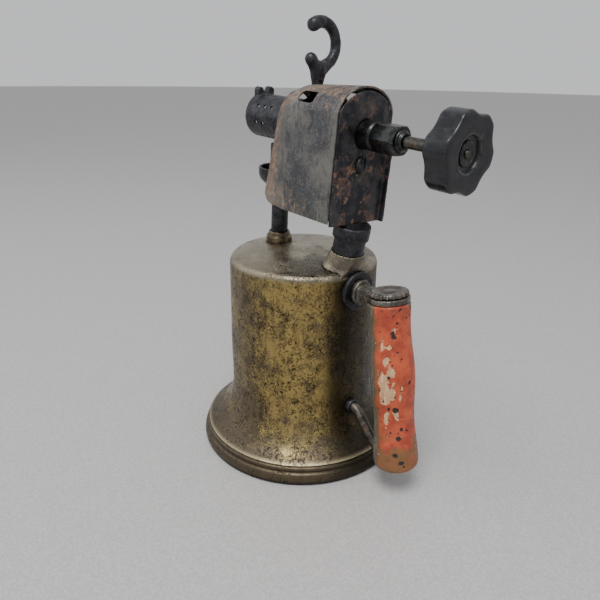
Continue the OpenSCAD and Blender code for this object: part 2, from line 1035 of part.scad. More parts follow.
module check_body() {
    z = tube_path[0][1];
    color(black_iron)
        difference() {
            union() {
                translate([0, 0, z])
                    bar_x(body_in, body_out, body_r);
                translate([valve_x, 0, z - body_r])
                    cylinder(h = valve_seat_z - z + body_r, r = body_r + 0.5);
            }
            translate([0, 0, z])
                bar_x(tube_path[0][0] - 0.5, 60, tube_r + fit_gap);
            translate([0, 0, z])
                bar_x(valve_x, 60, tube_bore);
            translate([valve_x, 0, z])
                cylinder(h = 20, r = 1.6);
        }
}

module check_ball() {
    color("#9a9a98")
        translate([valve_x, 0, valve_seat_z + sqrt(pow(ball_r, 2) - pow(1.6, 2)) + 0.05])
            sphere(r = ball_r);
}

module check_spring() {
    low = valve_seat_z + 2 * ball_r;
    turns = 4;
    pitch = (cage_top - 1.6 - low) / turns;
    color("#8d8d8d")
        translate([valve_x, 0, low])
            for (k = [0:turns - 1])
                translate([0, 0, pitch * (k + 0.5)])
                    rotate_extrude($fn = 32)
                        translate([2.1, 0])
                            circle(r = 0.35, $fn = 16);
}

// Slotted cap that holds the spring and lets the air out into the tank
module check_cage() {
    color(brass)
        translate([valve_x, 0, 0])
            difference() {
                translate([0, 0, valve_seat_z])
                    cylinder(h = cage_top - valve_seat_z, r = cage_r);
                translate([0, 0, valve_seat_z - 1])
                    cylinder(h = cage_top - valve_seat_z - 0.2, r = ball_r + 0.5);
                for (k = [0:1])
                    rotate(90 * k)
                        translate([-10, -1, valve_seat_z + 4])
                            cube([20, 2, 6]);
            }
}

tank_shell();
tank_bottom();
filler_boss();
filler_washer();
filler_plug();
feed_collar();
feed_pipe();
feed_wick();
neck_bush();
burner_neck();
burner_casting();
gas_jet();
burner_tube();
iron_hook();
hood_shell();
rear_plate();
plate_screw();
priming_cup();
valve_bonnet();
valve_packing();
packing_nut();
valve_stem();
valve_knob();
knob_ring();
bracket_pad();
handle_bracket();
handle_grip();
pump_barrel();
pump_gland();
pump_rod();
pump_button();
plunger_leather();
plunger_washer();
plunger_nut();
barrel_foot();
air_tube();
check_body();
check_ball();
check_spring();
check_cage();
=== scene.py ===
"""Looks of the blow torch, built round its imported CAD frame.

Metres, in the frame's axes: the muzzle points to -X, the knob to +X and Z is up. Each piece is
made in millimetres in the frame of its own sub-assembly and placed by that frame's matrix.
"""

import json
import math

import bmesh
import bpy
import numpy as np
from mathutils import Matrix, Quaternion, Vector, noise


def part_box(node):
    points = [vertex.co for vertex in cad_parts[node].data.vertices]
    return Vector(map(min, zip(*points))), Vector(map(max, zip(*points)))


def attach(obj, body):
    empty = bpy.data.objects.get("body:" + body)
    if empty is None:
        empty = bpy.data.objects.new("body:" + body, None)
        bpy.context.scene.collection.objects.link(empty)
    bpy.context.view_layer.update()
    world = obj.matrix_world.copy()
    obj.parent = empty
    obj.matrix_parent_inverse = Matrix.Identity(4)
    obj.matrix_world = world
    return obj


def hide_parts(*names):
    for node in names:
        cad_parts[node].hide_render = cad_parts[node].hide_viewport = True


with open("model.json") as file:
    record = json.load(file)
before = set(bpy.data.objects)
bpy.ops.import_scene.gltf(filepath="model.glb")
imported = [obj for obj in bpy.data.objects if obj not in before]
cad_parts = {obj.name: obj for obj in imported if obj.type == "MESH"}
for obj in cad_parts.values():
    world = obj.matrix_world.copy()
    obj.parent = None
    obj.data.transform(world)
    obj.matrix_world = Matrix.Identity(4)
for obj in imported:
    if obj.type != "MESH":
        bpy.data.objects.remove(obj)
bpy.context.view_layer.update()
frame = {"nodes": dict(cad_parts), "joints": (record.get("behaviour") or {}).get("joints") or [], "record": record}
MM = 0.001

# ---- frames of the sub-assemblies ----


def joint(name):
    return next(j for j in frame["joints"] if j["name"] == name)


def axes(origin, x=None, z=None):
    """Frame in millimetres whose Y is the torch's own, with X or Z along a given direction."""
    y = Vector((0, 1, 0))
    z = Vector(z).normalized() if z is not None else Vector(x).cross(y).normalized()
    x = y.cross(z)
    turn = Matrix((x, y, z)).transposed().to_4x4()
    return Matrix.Translation(Vector(origin)) @ turn @ Matrix.Scale(MM, 4)


def middle(node):
    lo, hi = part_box(node)
    return (lo + hi) / 2


def z_range(node):
    """Lowest and highest Z of a CAD node, in millimetres."""
    lo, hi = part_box(node)
    return lo.z / MM, hi.z / MM


VALVE = joint("valve_turn")
KNOB_PIN = 60  # distance of the valve joint's point from the burner frame's origin
BURNER = axes(Vector(VALVE["pos_m"]) - Vector(VALVE["axis"]) * KNOB_PIN * MM, x=VALVE["axis"])
HOOD = BURNER @ Matrix.Rotation(math.radians(-3), 4, "X")  # the hood sits rolled on the burner
PIPE_REACH = 66
PIPE = BURNER @ Matrix.Translation((-PIPE_REACH, 0, 0))
ROD_MIDDLE = 60.9  # of the pump rod, above the grip's lower end
PUMP_AXIS = Vector(joint("pump_stroke")["axis"])
GRIP = axes(middle("pump_rod") - PUMP_AXIS * ROD_MIDDLE * MM, z=PUMP_AXIS)
NECK_LEAN = math.radians(10)
NECK_MIDDLE = 9.5
NECK_AXIS = Vector((math.sin(NECK_LEAN), 0, math.cos(NECK_LEAN)))
NECK = axes(middle("burner_neck") - NECK_AXIS * NECK_MIDDLE * MM, z=NECK_AXIS)
TORCH = Matrix.Scale(MM, 4)
ALONG_X = Matrix.Rotation(math.pi / 2, 4, "Y")  # turns a piece's Z onto its frame's X

# ---- mesh tools ----


def smooth_step(t):
    t = min(1.0, max(0.0, t))
    return t * t * (3 - 2 * t)


def mix(a, b, t):
    return a + (b - a) * t


def make(name, verts, faces, place):
    mesh = bpy.data.meshes.new(name)
    mesh.from_pydata([place @ Vector(v) for v in verts], [], faces)
    ob = bpy.data.objects.new(name, mesh)
    bpy.context.scene.collection.objects.link(ob)
    bm = bmesh.new()
    bm.from_mesh(mesh)
    bmesh.ops.remove_doubles(bm, verts=bm.verts, dist=1e-6)
    bmesh.ops.recalc_face_normals(bm, faces=bm.faces)
    bm.to_mesh(mesh)
    bm.free()
    return ob


def rounded(points, radius=0.5, steps=4):
    """A profile with its inner corners rounded off; a point may carry its own radius."""
    made = [tuple(points[0][:2])]
    for before, here, after in zip(points, points[1:], points[2:]):
        r = here[2] if len(here) > 2 else radius
        a, c, b = (Vector(p[:2]) for p in (before, here, after))
        start = c + (a - c).normalized() * min(r, (a - c).length * 0.45)
        end = c + (b - c).normalized() * min(r, (b - c).length * 0.45)
        for i in range(steps + 1):
            t = i / steps
            made.append(tuple(start * (1 - t) ** 2 + c * 2 * t * (1 - t) + end * t * t))
    made.append(tuple(points[-1][:2]))
    return made


def divided(points, longest):
    """The same profile with extra points, none further apart than longest."""
    made = [points[0]]
    for a, b in zip(points, points[1:]):
        n = max(1, math.ceil(math.dist(a, b) / longest))
        made += [(mix(a[0], b[0], i / n), mix(a[1], b[1], i / n)) for i in range(1, n + 1)]
    return made


def spun(steps, line):
    """Points of a turned surface; line gives the profile of (radius, height) at an angle."""
    verts = []
    for k in range(steps):
        a = 2 * math.pi * k / steps
        verts += [(r * math.cos(a), r * math.sin(a), z) for r, z in line(a)]
    return verts


def belts(n, steps, looped):
    """Faces of a turned surface whose profile has n points; looped joins its last to its first."""
    return [(k * n + i, (k + 1) % steps * n + i, (k + 1) % steps * n + (i + 1) % n,
             k * n + (i + 1) % n) for k in range(steps) for i in range(n if looped else n - 1)]


def sleeve(rows, n):
    """Faces that join rows of n points, each row a closed loop."""
    return [(j * n + k, j * n + (k + 1) % n, (j + 1) * n + (k + 1) % n, (j + 1) * n + k)
            for j in range(rows - 1) for k in range(n)]


def lathe(name, profile, place, steps=96, shape=None):
    """Turns a profile of (radius, height) about Z. shape(radius, height, angle) may change a
    radius. An open profile is closed by its own ends, which lie on the axis or meet."""
    verts = spun(steps, lambda a: [(shape(r, z, a) if shape else r, z) for r, z in profile])
    return make(name, verts, belts(len(profile), steps, False), place)


def turned(name, points, place, radius=0.5, steps=96, longest=4):
    """A lathe piece from a closed loop of corners, each rounded off."""
    loop = rounded([points[-1], *points, points[0]], radius)[1:-1]
    return lathe(name, divided([*loop, loop[0]], longest), place, steps)


def solid_turned(name, points, place, radius=0.5, steps=96, longest=4):
    """A lathe piece from corners that start and end on the axis."""
    return lathe(name, divided(rounded(points, radius), longest), place, steps)


def prism(name, outline, z0, z1, place):
    n = len(outline)
    verts = [(x, y, z) for z in (z0, z1) for x, y in outline]
    faces = [tuple(range(n - 1, -1, -1)), tuple(range(n, 2 * n))]
    faces += [(i, (i + 1) % n, (i + 1) % n + n, i + n) for i in range(n)]
    return make(name, verts, faces, place)


def sweep(name, path, radii, place, sides=28):
    """A round bar along a path, with rounded ends."""
    path = [Vector(p) for p in path]
    n, verts = len(path), []
    normal = (path[1] - path[0]).orthogonal().normalized()
    rings = []
    for i, p in enumerate(path):
        d = (path[min(i + 1, n - 1)] - path[max(i - 1, 0)]).normalized()
        normal = (normal - d * normal.dot(d)).normalized()
        rings.append((p, d, normal.copy(), radii[i]))
    caps = [math.radians(a) for a in (85, 65, 45, 22)]
    first = [(rings[0], -1, a) for a in caps]
    last = [(rings[-1], 1, a) for a in reversed(caps)]
    whole = [*first, *[(r, 0, 0.0) for r in rings], *last]
    for (p, d, side, r), way, a in whole:
        centre = p + d * (way * r * math.sin(a))
        for k in range(sides):
            t = 2 * math.pi * k / sides
            out = side * math.cos(t) + d.cross(side) * math.sin(t)
            verts.append(centre + out * (r * math.cos(a)))
    m = len(whole)
    faces = sleeve(m, sides)
    faces += [tuple(range(sides - 1, -1, -1)), tuple(range((m - 1) * sides, m * sides))]
    return make(name, verts, faces, place)


def apply_modifiers(ob):
    bpy.context.view_layer.update()
    seen = ob.evaluated_get(bpy.context.evaluated_depsgraph_get())
    mesh = bpy.data.meshes.new_from_object(seen)
    ob.modifiers.clear()
    ob.data = mesh
    return ob


def modify(ob, kind, **settings):
    m = ob.modifiers.new(kind.lower(), kind)
    for key, value in settings.items():
        setattr(m, key, value)
    return m


def cut(ob, *others, operation="DIFFERENCE"):
    """Cuts other shapes from a piece, or joins or intersects it with them."""
    for c in others:
        modify(ob, "BOOLEAN", operation=operation, solver="EXACT", object=c)
    apply_modifiers(ob)
    for c in others:
        bpy.data.objects.remove(c)
    return ob


def drill(r, low, high, place, steps):
    """Cutter for a round hole along a frame's Z."""
    return solid_turned("drill", [(0, low), (r, low), (r, high), (0, high)], place, 0.01, steps)


def joined(name, *parts):
    """One object from several, their meshes side by side."""
    bm = bmesh.new()
    for p in parts:
        bm.from_mesh(p.data)
        bpy.data.objects.remove(p)
    mesh = bpy.data.meshes.new(name)
    bm.to_mesh(mesh)
    bm.free()
    ob = bpy.data.objects.new(name, mesh)
    bpy.context.scene.collection.objects.link(ob)
    return ob


def fused(ob, voxel, rounds=6):
    """Melts overlapping shapes into one skin with soft inner and outer edges, as in a casting."""
    modify(ob, "REMESH", mode="VOXEL", voxel_size=voxel * MM, adaptivity=0)
    modify(ob, "SMOOTH", factor=0.5, iterations=rounds)
    return apply_modifiers(ob)


def copy_of(node, name):
    ob = bpy.data.objects.new(name, frame["nodes"][node].data.copy())
    ob.data.materials.clear()
    bpy.context.scene.collection.objects.link(ob)
    return ob


def bevelled(ob, width, segments=3, angle=35):
    modify(ob, "BEVEL", width=width * MM, segments=segments, limit_method="ANGLE",
           angle_limit=math.radians(angle), harden_normals=False)
    return apply_modifiers(ob)


def weathered(ob, depth, size, seed, octaves=3):
    """Moves each point along its normal by fractal noise: depth and size in millimetres."""
    mesh = ob.data
    co = np.empty(len(mesh.vertices) * 3)
    no = np.empty(len(mesh.vertices) * 3)
    mesh.vertices.foreach_get("co", co)
    mesh.vertices.foreach_get("normal", no)
    co, no = co.reshape(-1, 3), no.reshape(-1, 3)
    shift = Vector((seed * 7.3, seed * 3.1, seed * 5.7))
    scale = 1 / (size * MM)
    waves = np.array([noise.fractal(Vector(p) * scale + shift, 1.0, 2.1, octaves) for p in co])
    co += no * (waves * depth * MM)[:, None]
    mesh.vertices.foreach_set("co", co.ravel())
    mesh.update()
    return ob


def shaded(ob, angle=35):
    ob.data.shade_smooth()
    ob.data.set_sharp_from_angle(angle=math.radians(angle))
    return ob


# ---- shader tools ----


class Shade:
    """Builds one material. Sizes are in millimetres, in the frame's own coordinates."""

    def __init__(self, name, metallic=0.0, specular=0.5):
        self.mat = bpy.data.materials.new(name)
        self.mat.use_nodes = True
        self.tree = self.mat.node_tree
        self.bsdf = self.tree.nodes["Principled BSDF"]
        self.bsdf.inputs["Metallic"].default_value = metallic
        self.bsdf.inputs["Specular IOR Level"].default_value = specular
        self.place = self.tree.nodes.new("ShaderNodeTexCoord").outputs["Object"]
        self.shift = 0
        self.colour = None

    def put(self, socket, value):
        if isinstance(value, bpy.types.NodeSocket):
            self.tree.links.new(value, socket)
        else:
            socket.default_value = value

    def node(self, kind, inputs, out=0, **props):
        n = self.tree.nodes.new("ShaderNode" + kind)
        for key, value in props.items():
            setattr(n, key, value)
        for key, value in inputs.items():
            self.put(n.inputs[key], value)
        return n.outputs[out]

    def mapped(self, size, stretch):
        self.shift += 1.7
        scale = [1 / (size * MM * s) for s in stretch]
        return self.node("Mapping", {"Vector": self.place, "Scale": scale,
                                     "Location": [self.shift, -self.shift, self.shift * 2]})

    def noise(self, size, detail=4, rough=0.55, stretch=(1, 1, 1), warp=0.0):
        return self.node("TexNoise", {"Vector": self.mapped(size, stretch), "Scale": 1.0,
                                      "Detail": detail, "Roughness": rough, "Distortion": warp})

    def mask(self, value, low, high):
        return self.node("MapRange", {"Value": value, "From Min": low, "From Max": high},
                         interpolation_type="SMOOTHSTEP")

    def patches(self, low, high, size, *args, **kinds):
        """Noise of a size, sharpened into patches: low and high are its fading's ends."""
        return self.mask(self.noise(size, *args, **kinds), low, high)

    def math(self, operation, a, b=0.0, clamp=False):
        return self.node("Math", {0: a, 1: b}, operation=operation, use_clamp=clamp)

    def mul(self, a, b):
        return self.math("MULTIPLY", a, b)

    def add(self, a, b, clamp=False):
        return self.math("ADD", a, b, clamp)

    def sub(self, a, b):
        return self.math("SUBTRACT", a, b)

    def most(self, a, b):
        return self.math("MAXIMUM", a, b)

    def blend(self, share, a, b):
        colours = {6: (*a, 1) if isinstance(a, tuple) else a,
                   7: (*b, 1) if isinstance(b, tuple) else b}
        return self.node("Mix", {0: share, **colours}, out=2, data_type="RGBA")

    def coat(self, share, tint, amount=None):
        """Lays a tint over the colour so far: where share says, by an amount."""
        share = share if amount is None else self.mul(share, amount)
        self.colour = self.blend(share, self.colour, tint)

    def part(self, axis):
        """One coordinate of the place in the frame, in metres."""
        return self.node("SeparateXYZ", {0: self.place}, out="XYZ".index(axis))

    def towards(self, x, y):
        """Cosine between the way from the Z axis to the surface and a level direction."""
        flat = self.node("VectorMath", {0: self.place, 1: (1, 1, 0)}, operation="MULTIPLY")
        unit = self.node("VectorMath", {0: flat}, operation="NORMALIZE")
        return self.node("VectorMath", {0: unit, 1: (x, y, 0)}, out="Value",
                         operation="DOT_PRODUCT")

    def edges(self, low=0.52, high=0.62):
        """Share of wear on outward edges."""
        point = self.tree.nodes.new("ShaderNodeNewGeometry").outputs["Pointiness"]
        return self.mask(point, low, high)

    def hollows(self, distance):
        """Share of shelter in corners and hollows, within a distance."""
        n = self.tree.nodes.new("ShaderNodeAmbientOcclusion")
        n.samples = 6
        n.inputs["Distance"].default_value = distance * MM
        return self.mask(n.outputs["AO"], 0.95, 0.45)

    def attribute(self, name):
        n = self.tree.nodes.new("ShaderNodeAttribute")
        n.attribute_name = name
        return n.outputs["Fac"]

    def finish(self, rough, height, depth, metal=None):
        """Joins the results; depth is the bump's in millimetres."""
        self.put(self.bsdf.inputs["Base Color"], self.colour)
        self.put(self.bsdf.inputs["Roughness"], rough)
        if metal is not None:
            self.put(self.bsdf.inputs["Metallic"], metal)
        bump = self.node("Bump", {"Strength": 1.0, "Distance": depth * MM, "Height": height})
        self.put(self.bsdf.inputs["Normal"], bump)
        return self.mat


def brass_tank():
    """Old drawn brass: gold worn through brown patina on the near side, and soot with painted shade on the side by
    the handle.
    """
    s = Shade("aged_brass", metallic=1.0)
    z = s.part("Z")
    near = s.mask(s.towards(0.70, -0.71), 0.72, 0.99)
    soot_and_shade = s.mask(s.towards(0.94, 0.34), 0.60, 0.86)
    film = s.mask(s.towards(-0.50, -0.87), 0.62, 0.96)
    top = s.mask(z, 0.1292, 0.1322)
    bell = s.mask(z, 0.046, 0.034)
    grain = s.noise(1.05, 4, 0.75)
    streak = s.patches(0.35, 0.68, 4, 3, 0.6, stretch=(1, 1, 14))
    share = s.add(s.mul(s.noise(26, 3, 0.55), 0.55), s.mul(s.noise(7, 4, 0.62, warp=0.4), 0.55))
    share = s.add(share, s.mul(near, 0.10))
    share = s.sub(share, s.mul(bell, 0.05))
    flecks = s.mask(s.add(s.mul(grain, 0.62), s.mul(share, 0.55)), 0.590, 0.700)
    flecks = s.mul(flecks, s.mask(z, 0.013, 0.017))
    s.colour = s.blend(streak, (0.070, 0.054, 0.034), (0.150, 0.118, 0.074))
    s.coat(s.mask(share, 0.50, 0.72), (0.235, 0.170, 0.074), 0.75)
    s.coat(bell, (0.165, 0.128, 0.084), 0.45)
    s.coat(flecks, (0.440, 0.325, 0.115), 0.85)
    s.coat(film, (0.180, 0.148, 0.104), 0.45)
    runs = s.patches(0.52, 0.66, 3.2, 4, 0.65, stretch=(1, 1, 5), warp=0.3)
    s.coat(runs, (0.082, 0.058, 0.034), 0.55)
    pits = s.mul(s.patches(0.51, 0.61, 1.9, 4, 0.75), s.patches(0.32, 0.56, 12, 2))
    s.coat(pits, (0.022, 0.017, 0.012), 0.85)
    dull = s.mul(s.mask(z, 0.028, 0.019), 0.55)
    s.coat(dull, (0.085, 0.070, 0.052))
    # painted shade with soot: the side towards the handle is darkened, standing partly for the dark handle that it
    # reflects
    s.coat(soot_and_shade, (0.026, 0.022, 0.017), 0.78)
    satin = s.blend(s.patches(0.35, 0.7, 20, 4, 0.5), (0.300, 0.258, 0.190), (0.430, 0.372, 0.270))
    # stained and in painted shade: the top is darkened towards +X, round the foot of the neck under the hood
    stain_and_shade = s.mask(s.add(s.noise(15, 3, 0.5), s.mul(s.mask(s.part("X"), 0.0, 0.03), 0.16)),
                   0.52, 0.74)
    satin = s.blend(s.mul(stain_and_shade, 0.75), satin, (0.085, 0.076, 0.066))
    s.coat(top, satin, 0.9)
    # worn edges with a painted highlight: the shoulder's edge and the rim's beads are lightened to bright gold
    rubbed_and_highlight = s.mul(s.edges(0.515, 0.56), s.most(top, s.mask(z, 0.016, 0.013)))
    s.coat(rubbed_and_highlight, (0.52, 0.44, 0.27), 0.7)
    # painted contact shadow: the foot of the rim is darkened nearly to black where it meets the floor
    s.coat(s.mask(z, 0.0040, 0.0012), (0.03, 0.027, 0.023), 0.85)
    # painted shade: corners and hollows darkened by ambient occlusion
    s.coat(s.hollows(5), (0.022, 0.019, 0.016), 0.7)
    rough = s.sub(0.44, s.mul(flecks, 0.10))
    rough = s.sub(rough, s.mul(s.most(bell, top), 0.09))
    rough = s.add(rough, s.mul(dull, 0.2))
    rough = s.add(rough, s.mul(pits, 0.22))
    rough = s.add(rough, s.mul(s.sub(s.noise(4, 4), 0.5), 0.25))
    height = s.add(s.mul(grain, 0.5), s.mul(pits, -0.8))
    return s.finish(rough, s.add(height, s.mul(flecks, 0.35)), 0.10)


def metal(name, low, high, worn, size=6, shine=0.45, rust=0.0, metallic=1.0, rust_colour=None,
          depth=0.10, wear=0.6):
    """A weathered metal: two tones in patches, worn edges, painted shade in the hollows, and rust."""
    s = Shade(name, metallic=metallic)
    patch = s.noise(size, 5, 0.62, warp=0.3)
    grain = s.noise(0.7, 3, 0.6)
    fine = s.noise(size / 5, 4, 0.65)
    s.colour = s.blend(s.mask(patch, 0.34, 0.68), low, high)
    s.coat(s.mask(fine, 0.5, 0.7), worn, 0.35)
    edge = s.mul(s.edges(), s.mask(fine, 0.3, 0.6))
    s.coat(s.mul(edge, wear), worn)
    red = s.mul(s.patches(0.62 - rust, 0.74 - rust * 0.8, size * 1.3, 6, 0.7),
                s.patches(0.32, 0.55, 1.6, 3, 0.7))
    tint = s.blend(s.noise(2.2, 3), (0.085, 0.035, 0.018), rust_colour or (0.27, 0.115, 0.048))
    if rust > 0:
        s.coat(red, tint)
    # painted shade: hollows darkened by ambient occlusion
    s.coat(s.hollows(3), (0.015, 0.013, 0.012), 0.6)
    rough = s.add(shine, s.mul(s.sub(patch, 0.5), 0.3))
    rough = s.sub(rough, s.mul(edge, 0.12))
    if rust > 0:
        rough = s.add(rough, s.mul(red, 0.35), clamp=True)
    height = s.add(s.mul(grain, 0.5), s.mul(patch, 0.8))
    height = s.add(height, s.mul(red, 0.6)) if rust > 0 else height
    level = s.sub(metallic, s.mul(red, metallic)) if rust > 0 else None
    return s.finish(rough, height, depth, level)


def hood_steel():
    s = Shade("hood_steel", metallic=0.75)
    x = s.part("X")
    z = s.part("Z")
    broad = s.noise(22, 4, 0.6)
    fine = s.noise(1.3, 4, 0.7)
    drip = s.noise(3.4, 4, 0.65, stretch=(1, 1, 2.2))
    s.colour = s.blend(s.mask(broad, 0.36, 0.66), (0.082, 0.084, 0.090), (0.190, 0.184, 0.168))
    s.coat(s.mask(fine, 0.50, 0.66), (0.250, 0.238, 0.205), 0.6)
    s.coat(s.mask(drip, 0.50, 0.66), (0.048, 0.049, 0.058), 0.6)
    front = s.mask(x, 0.008, -0.009)
    high = s.mul(s.mask(z, 0.222, 0.238), 0.75)
    low = s.mul(s.mask(z, 0.190, 0.170), s.mask(x, 0.034, 0.000))
    where = s.most(front, s.most(high, s.mul(low, 0.9)))
    patch = s.noise(7.5, 6, 0.68, warp=0.5)
    rust = s.mask(s.add(s.mul(where, 0.26), patch), 0.58, 0.80)
    rust = s.mul(rust, s.mask(fine, 0.30, 0.52))
    tint = s.blend(s.patches(0.35, 0.7, 3, 4), (0.120, 0.070, 0.045), (0.300, 0.180, 0.110))
    s.coat(rust, tint, 0.85)
    spots = s.mul(s.patches(0.57, 0.66, 6.5, 5, 0.7), s.add(s.mul(low, 0.8), 0.10))
    s.coat(spots, (0.34, 0.175, 0.080))
    scuff = s.mul(s.patches(0.56, 0.66, 2.4, 4, stretch=(1, 1, 5)), s.mask(z, 0.186, 0.172))
    s.coat(scuff, (0.38, 0.33, 0.22), 0.45)
    edge = s.mul(s.edges(0.53, 0.60), s.mask(fine, 0.35, 0.55))
    s.coat(edge, (0.36, 0.34, 0.30), 0.6)
    rough = s.add(0.42, s.mul(broad, 0.18))
    rough = s.add(rough, s.mul(rust, 0.22), clamp=True)
    height = s.add(s.mul(fine, 0.6), s.mul(s.add(rust, spots), 0.7))
    return s.finish(rough, height, 0.10, s.sub(0.8, s.mul(rust, 0.7)))


def plate_steel():
    s = Shade("plate_steel", metallic=0.6)
    z = s.part("Z")
    broad = s.noise(11, 5, 0.62)
    fine = s.noise(1.4, 4, 0.7)
    s.colour = s.blend(s.mask(broad, 0.4, 0.65), (0.022, 0.023, 0.028), (0.070, 0.069, 0.074))
    rust = s.mul(s.patches(0.50, 0.62, 12, 6, 0.70, warp=0.4), s.mask(fine, 0.34, 0.52))
    tint = s.blend(s.patches(0.4, 0.68, 3, 4), (0.090, 0.050, 0.034), (0.215, 0.115, 0.072))
    s.coat(rust, tint, 0.85)
    bright = s.mul(s.patches(0.58, 0.66, 7, 5, 0.65), s.mask(z, 0.245, 0.185))
    s.coat(bright, (0.310, 0.165, 0.098), 0.8)
    flakes = s.mul(s.patches(0.64, 0.7, 1.8, 3, stretch=(1, 1, 2)), s.patches(0.45, 0.6, 8, 2))
    s.coat(flakes, (0.33, 0.27, 0.13), 0.8)
    edge = s.mul(s.edges(0.54, 0.62), s.mask(fine, 0.38, 0.55))
    s.coat(edge, (0.24, 0.23, 0.22), 0.65)
    rough = s.add(s.add(0.40, s.mul(broad, 0.15)), s.mul(rust, 0.3), clamp=True)
    height = s.add(s.mul(fine, 0.6), s.add(rust, s.mul(broad, 0.5)))
    return s.finish(rough, height, 0.14, s.sub(0.7, s.mul(rust, 0.65)))


def knob_plastic():
    s = Shade("knob_plastic", specular=0.42)
    dust = s.mul(s.patches(0.42, 0.72, 5, 5, 0.6), 0.5)
    streak = s.patches(0.48, 0.7, 1.2, 3, stretch=(8, 1, 1))
    s.colour = s.blend(dust, (0.0070, 0.0078, 0.0100), (0.022, 0.024, 0.028))
    s.coat(streak, (0.08, 0.08, 0.078), 0.10)
    edge = s.mul(s.edges(0.51, 0.56), s.patches(0.4, 0.6, 1.5, 3))
    s.coat(edge, (0.17, 0.17, 0.16), 0.35)
    s.coat(s.hollows(2.5), (0.09, 0.085, 0.07), 0.4)
    rough = s.add(s.add(0.20, s.mul(dust, 0.30)), s.mul(s.noise(0.8, 3), 0.10))
    height = s.add(s.noise(0.9, 3), s.mul(s.noise(6, 3), 2.0))
    return s.finish(rough, height, 0.035)


def painted_wood():
    """Chips, bare wood and pits come from the grip's own attributes, sharpened by noise."""
    s = Shade("painted_wood", specular=0.5)
    fray = s.sub(s.noise(1.1, 4, 0.7), 0.5)
    chip = s.mask(s.add(s.attribute("chip"), s.mul(fray, 0.5)), 0.46, 0.54)
    bare = s.mask(s.add(s.attribute("bare"), s.mul(fray, 0.7)), 0.42, 0.60)
    pit = s.mask(s.add(s.attribute("pit"), s.mul(fray, 0.5)), 0.44, 0.56)
    stain_and_shade = s.mask(s.add(s.attribute("stain_and_shade"), s.mul(fray, 0.5)), 0.25, 0.85)
    paint = s.blend(s.patches(0.36, 0.66, 9, 4, 0.6), (0.330, 0.043, 0.018), (0.540, 0.092, 0.032))
    paint = s.blend(s.mul(s.patches(0.55, 0.72, 1.6, 4, 0.7), 0.5), paint, (0.60, 0.165, 0.065))
    paint = s.blend(s.mul(s.patches(0.56, 0.68, 4, 5, 0.7), 0.75), paint, (0.17, 0.028, 0.016))
    fibre = s.noise(0.8, 4, 0.6, stretch=(1, 1, 16))
    wood = s.blend(s.mask(fibre, 0.35, 0.65), (0.070, 0.058, 0.044), (0.175, 0.148, 0.112))
    wood = s.blend(s.patches(0.5, 0.72, 8, 4), wood, (0.10, 0.085, 0.07))
    primer = s.blend(s.mask(fibre, 0.42, 0.68), (0.50, 0.30, 0.150), (0.74, 0.53, 0.31))
    primer = s.blend(s.patches(0.56, 0.66, 1.4, 4, 0.7), primer, (0.62, 0.16, 0.06))
    # stained at the foot, and painted shade on the side towards the tank
    s.colour = s.blend(s.mul(stain_and_shade, 0.75), paint, (0.130, 0.095, 0.030))
    s.coat(chip, primer)
    s.coat(bare, wood)
    s.coat(pit, (0.022, 0.018, 0.017))
    rough = s.add(0.38, s.mul(s.noise(3, 4), 0.18))
    rough = s.add(rough, s.mul(s.most(chip, s.most(bare, pit)), 0.25), clamp=True)
    height = s.add(s.mul(s.noise(2.2, 4), 0.5), s.mul(fibre, 0.35))
    height = s.sub(height, s.mul(s.most(chip, bare), 0.7))
    height = s.sub(height, s.mul(pit, 1.2))
    return s.finish(rough, height, 0.16)


def plain(name, low, high, size, rough, depth=0.05, metallic=0.0, stretch=(1, 1, 1)):
    """A quieter finish for small parts inside: patches, fine grain and painted shade in the hollows."""
    s = Shade(name, metallic=metallic)
    grain = s.noise(size / 6, 3, 0.6, stretch=stretch)
    patch = s.noise(size, 4, 0.6)
    s.colour = s.blend(s.mask(s.add(s.mul(grain, 0.5), s.mul(patch, 0.5)), 0.36, 0.64), low, high)
    # painted shade: hollows darkened by ambient occlusion
    s.coat(s.hollows(2), tuple(c * 0.3 for c in low), 0.5)
    return s.finish(s.add(rough, s.mul(patch, 0.15)), s.add(grain, patch), depth)


def floor_finish():
    s = Shade("pale_floor", specular=0.35)
    speck = s.patches(0.40, 0.62, 1.3, 2, 0.6)
    s.colour = s.blend(speck, (0.430, 0.418, 0.410), (0.500, 0.487, 0.480))
    return s.finish(0.55, s.noise(1.0, 2), 0.03)


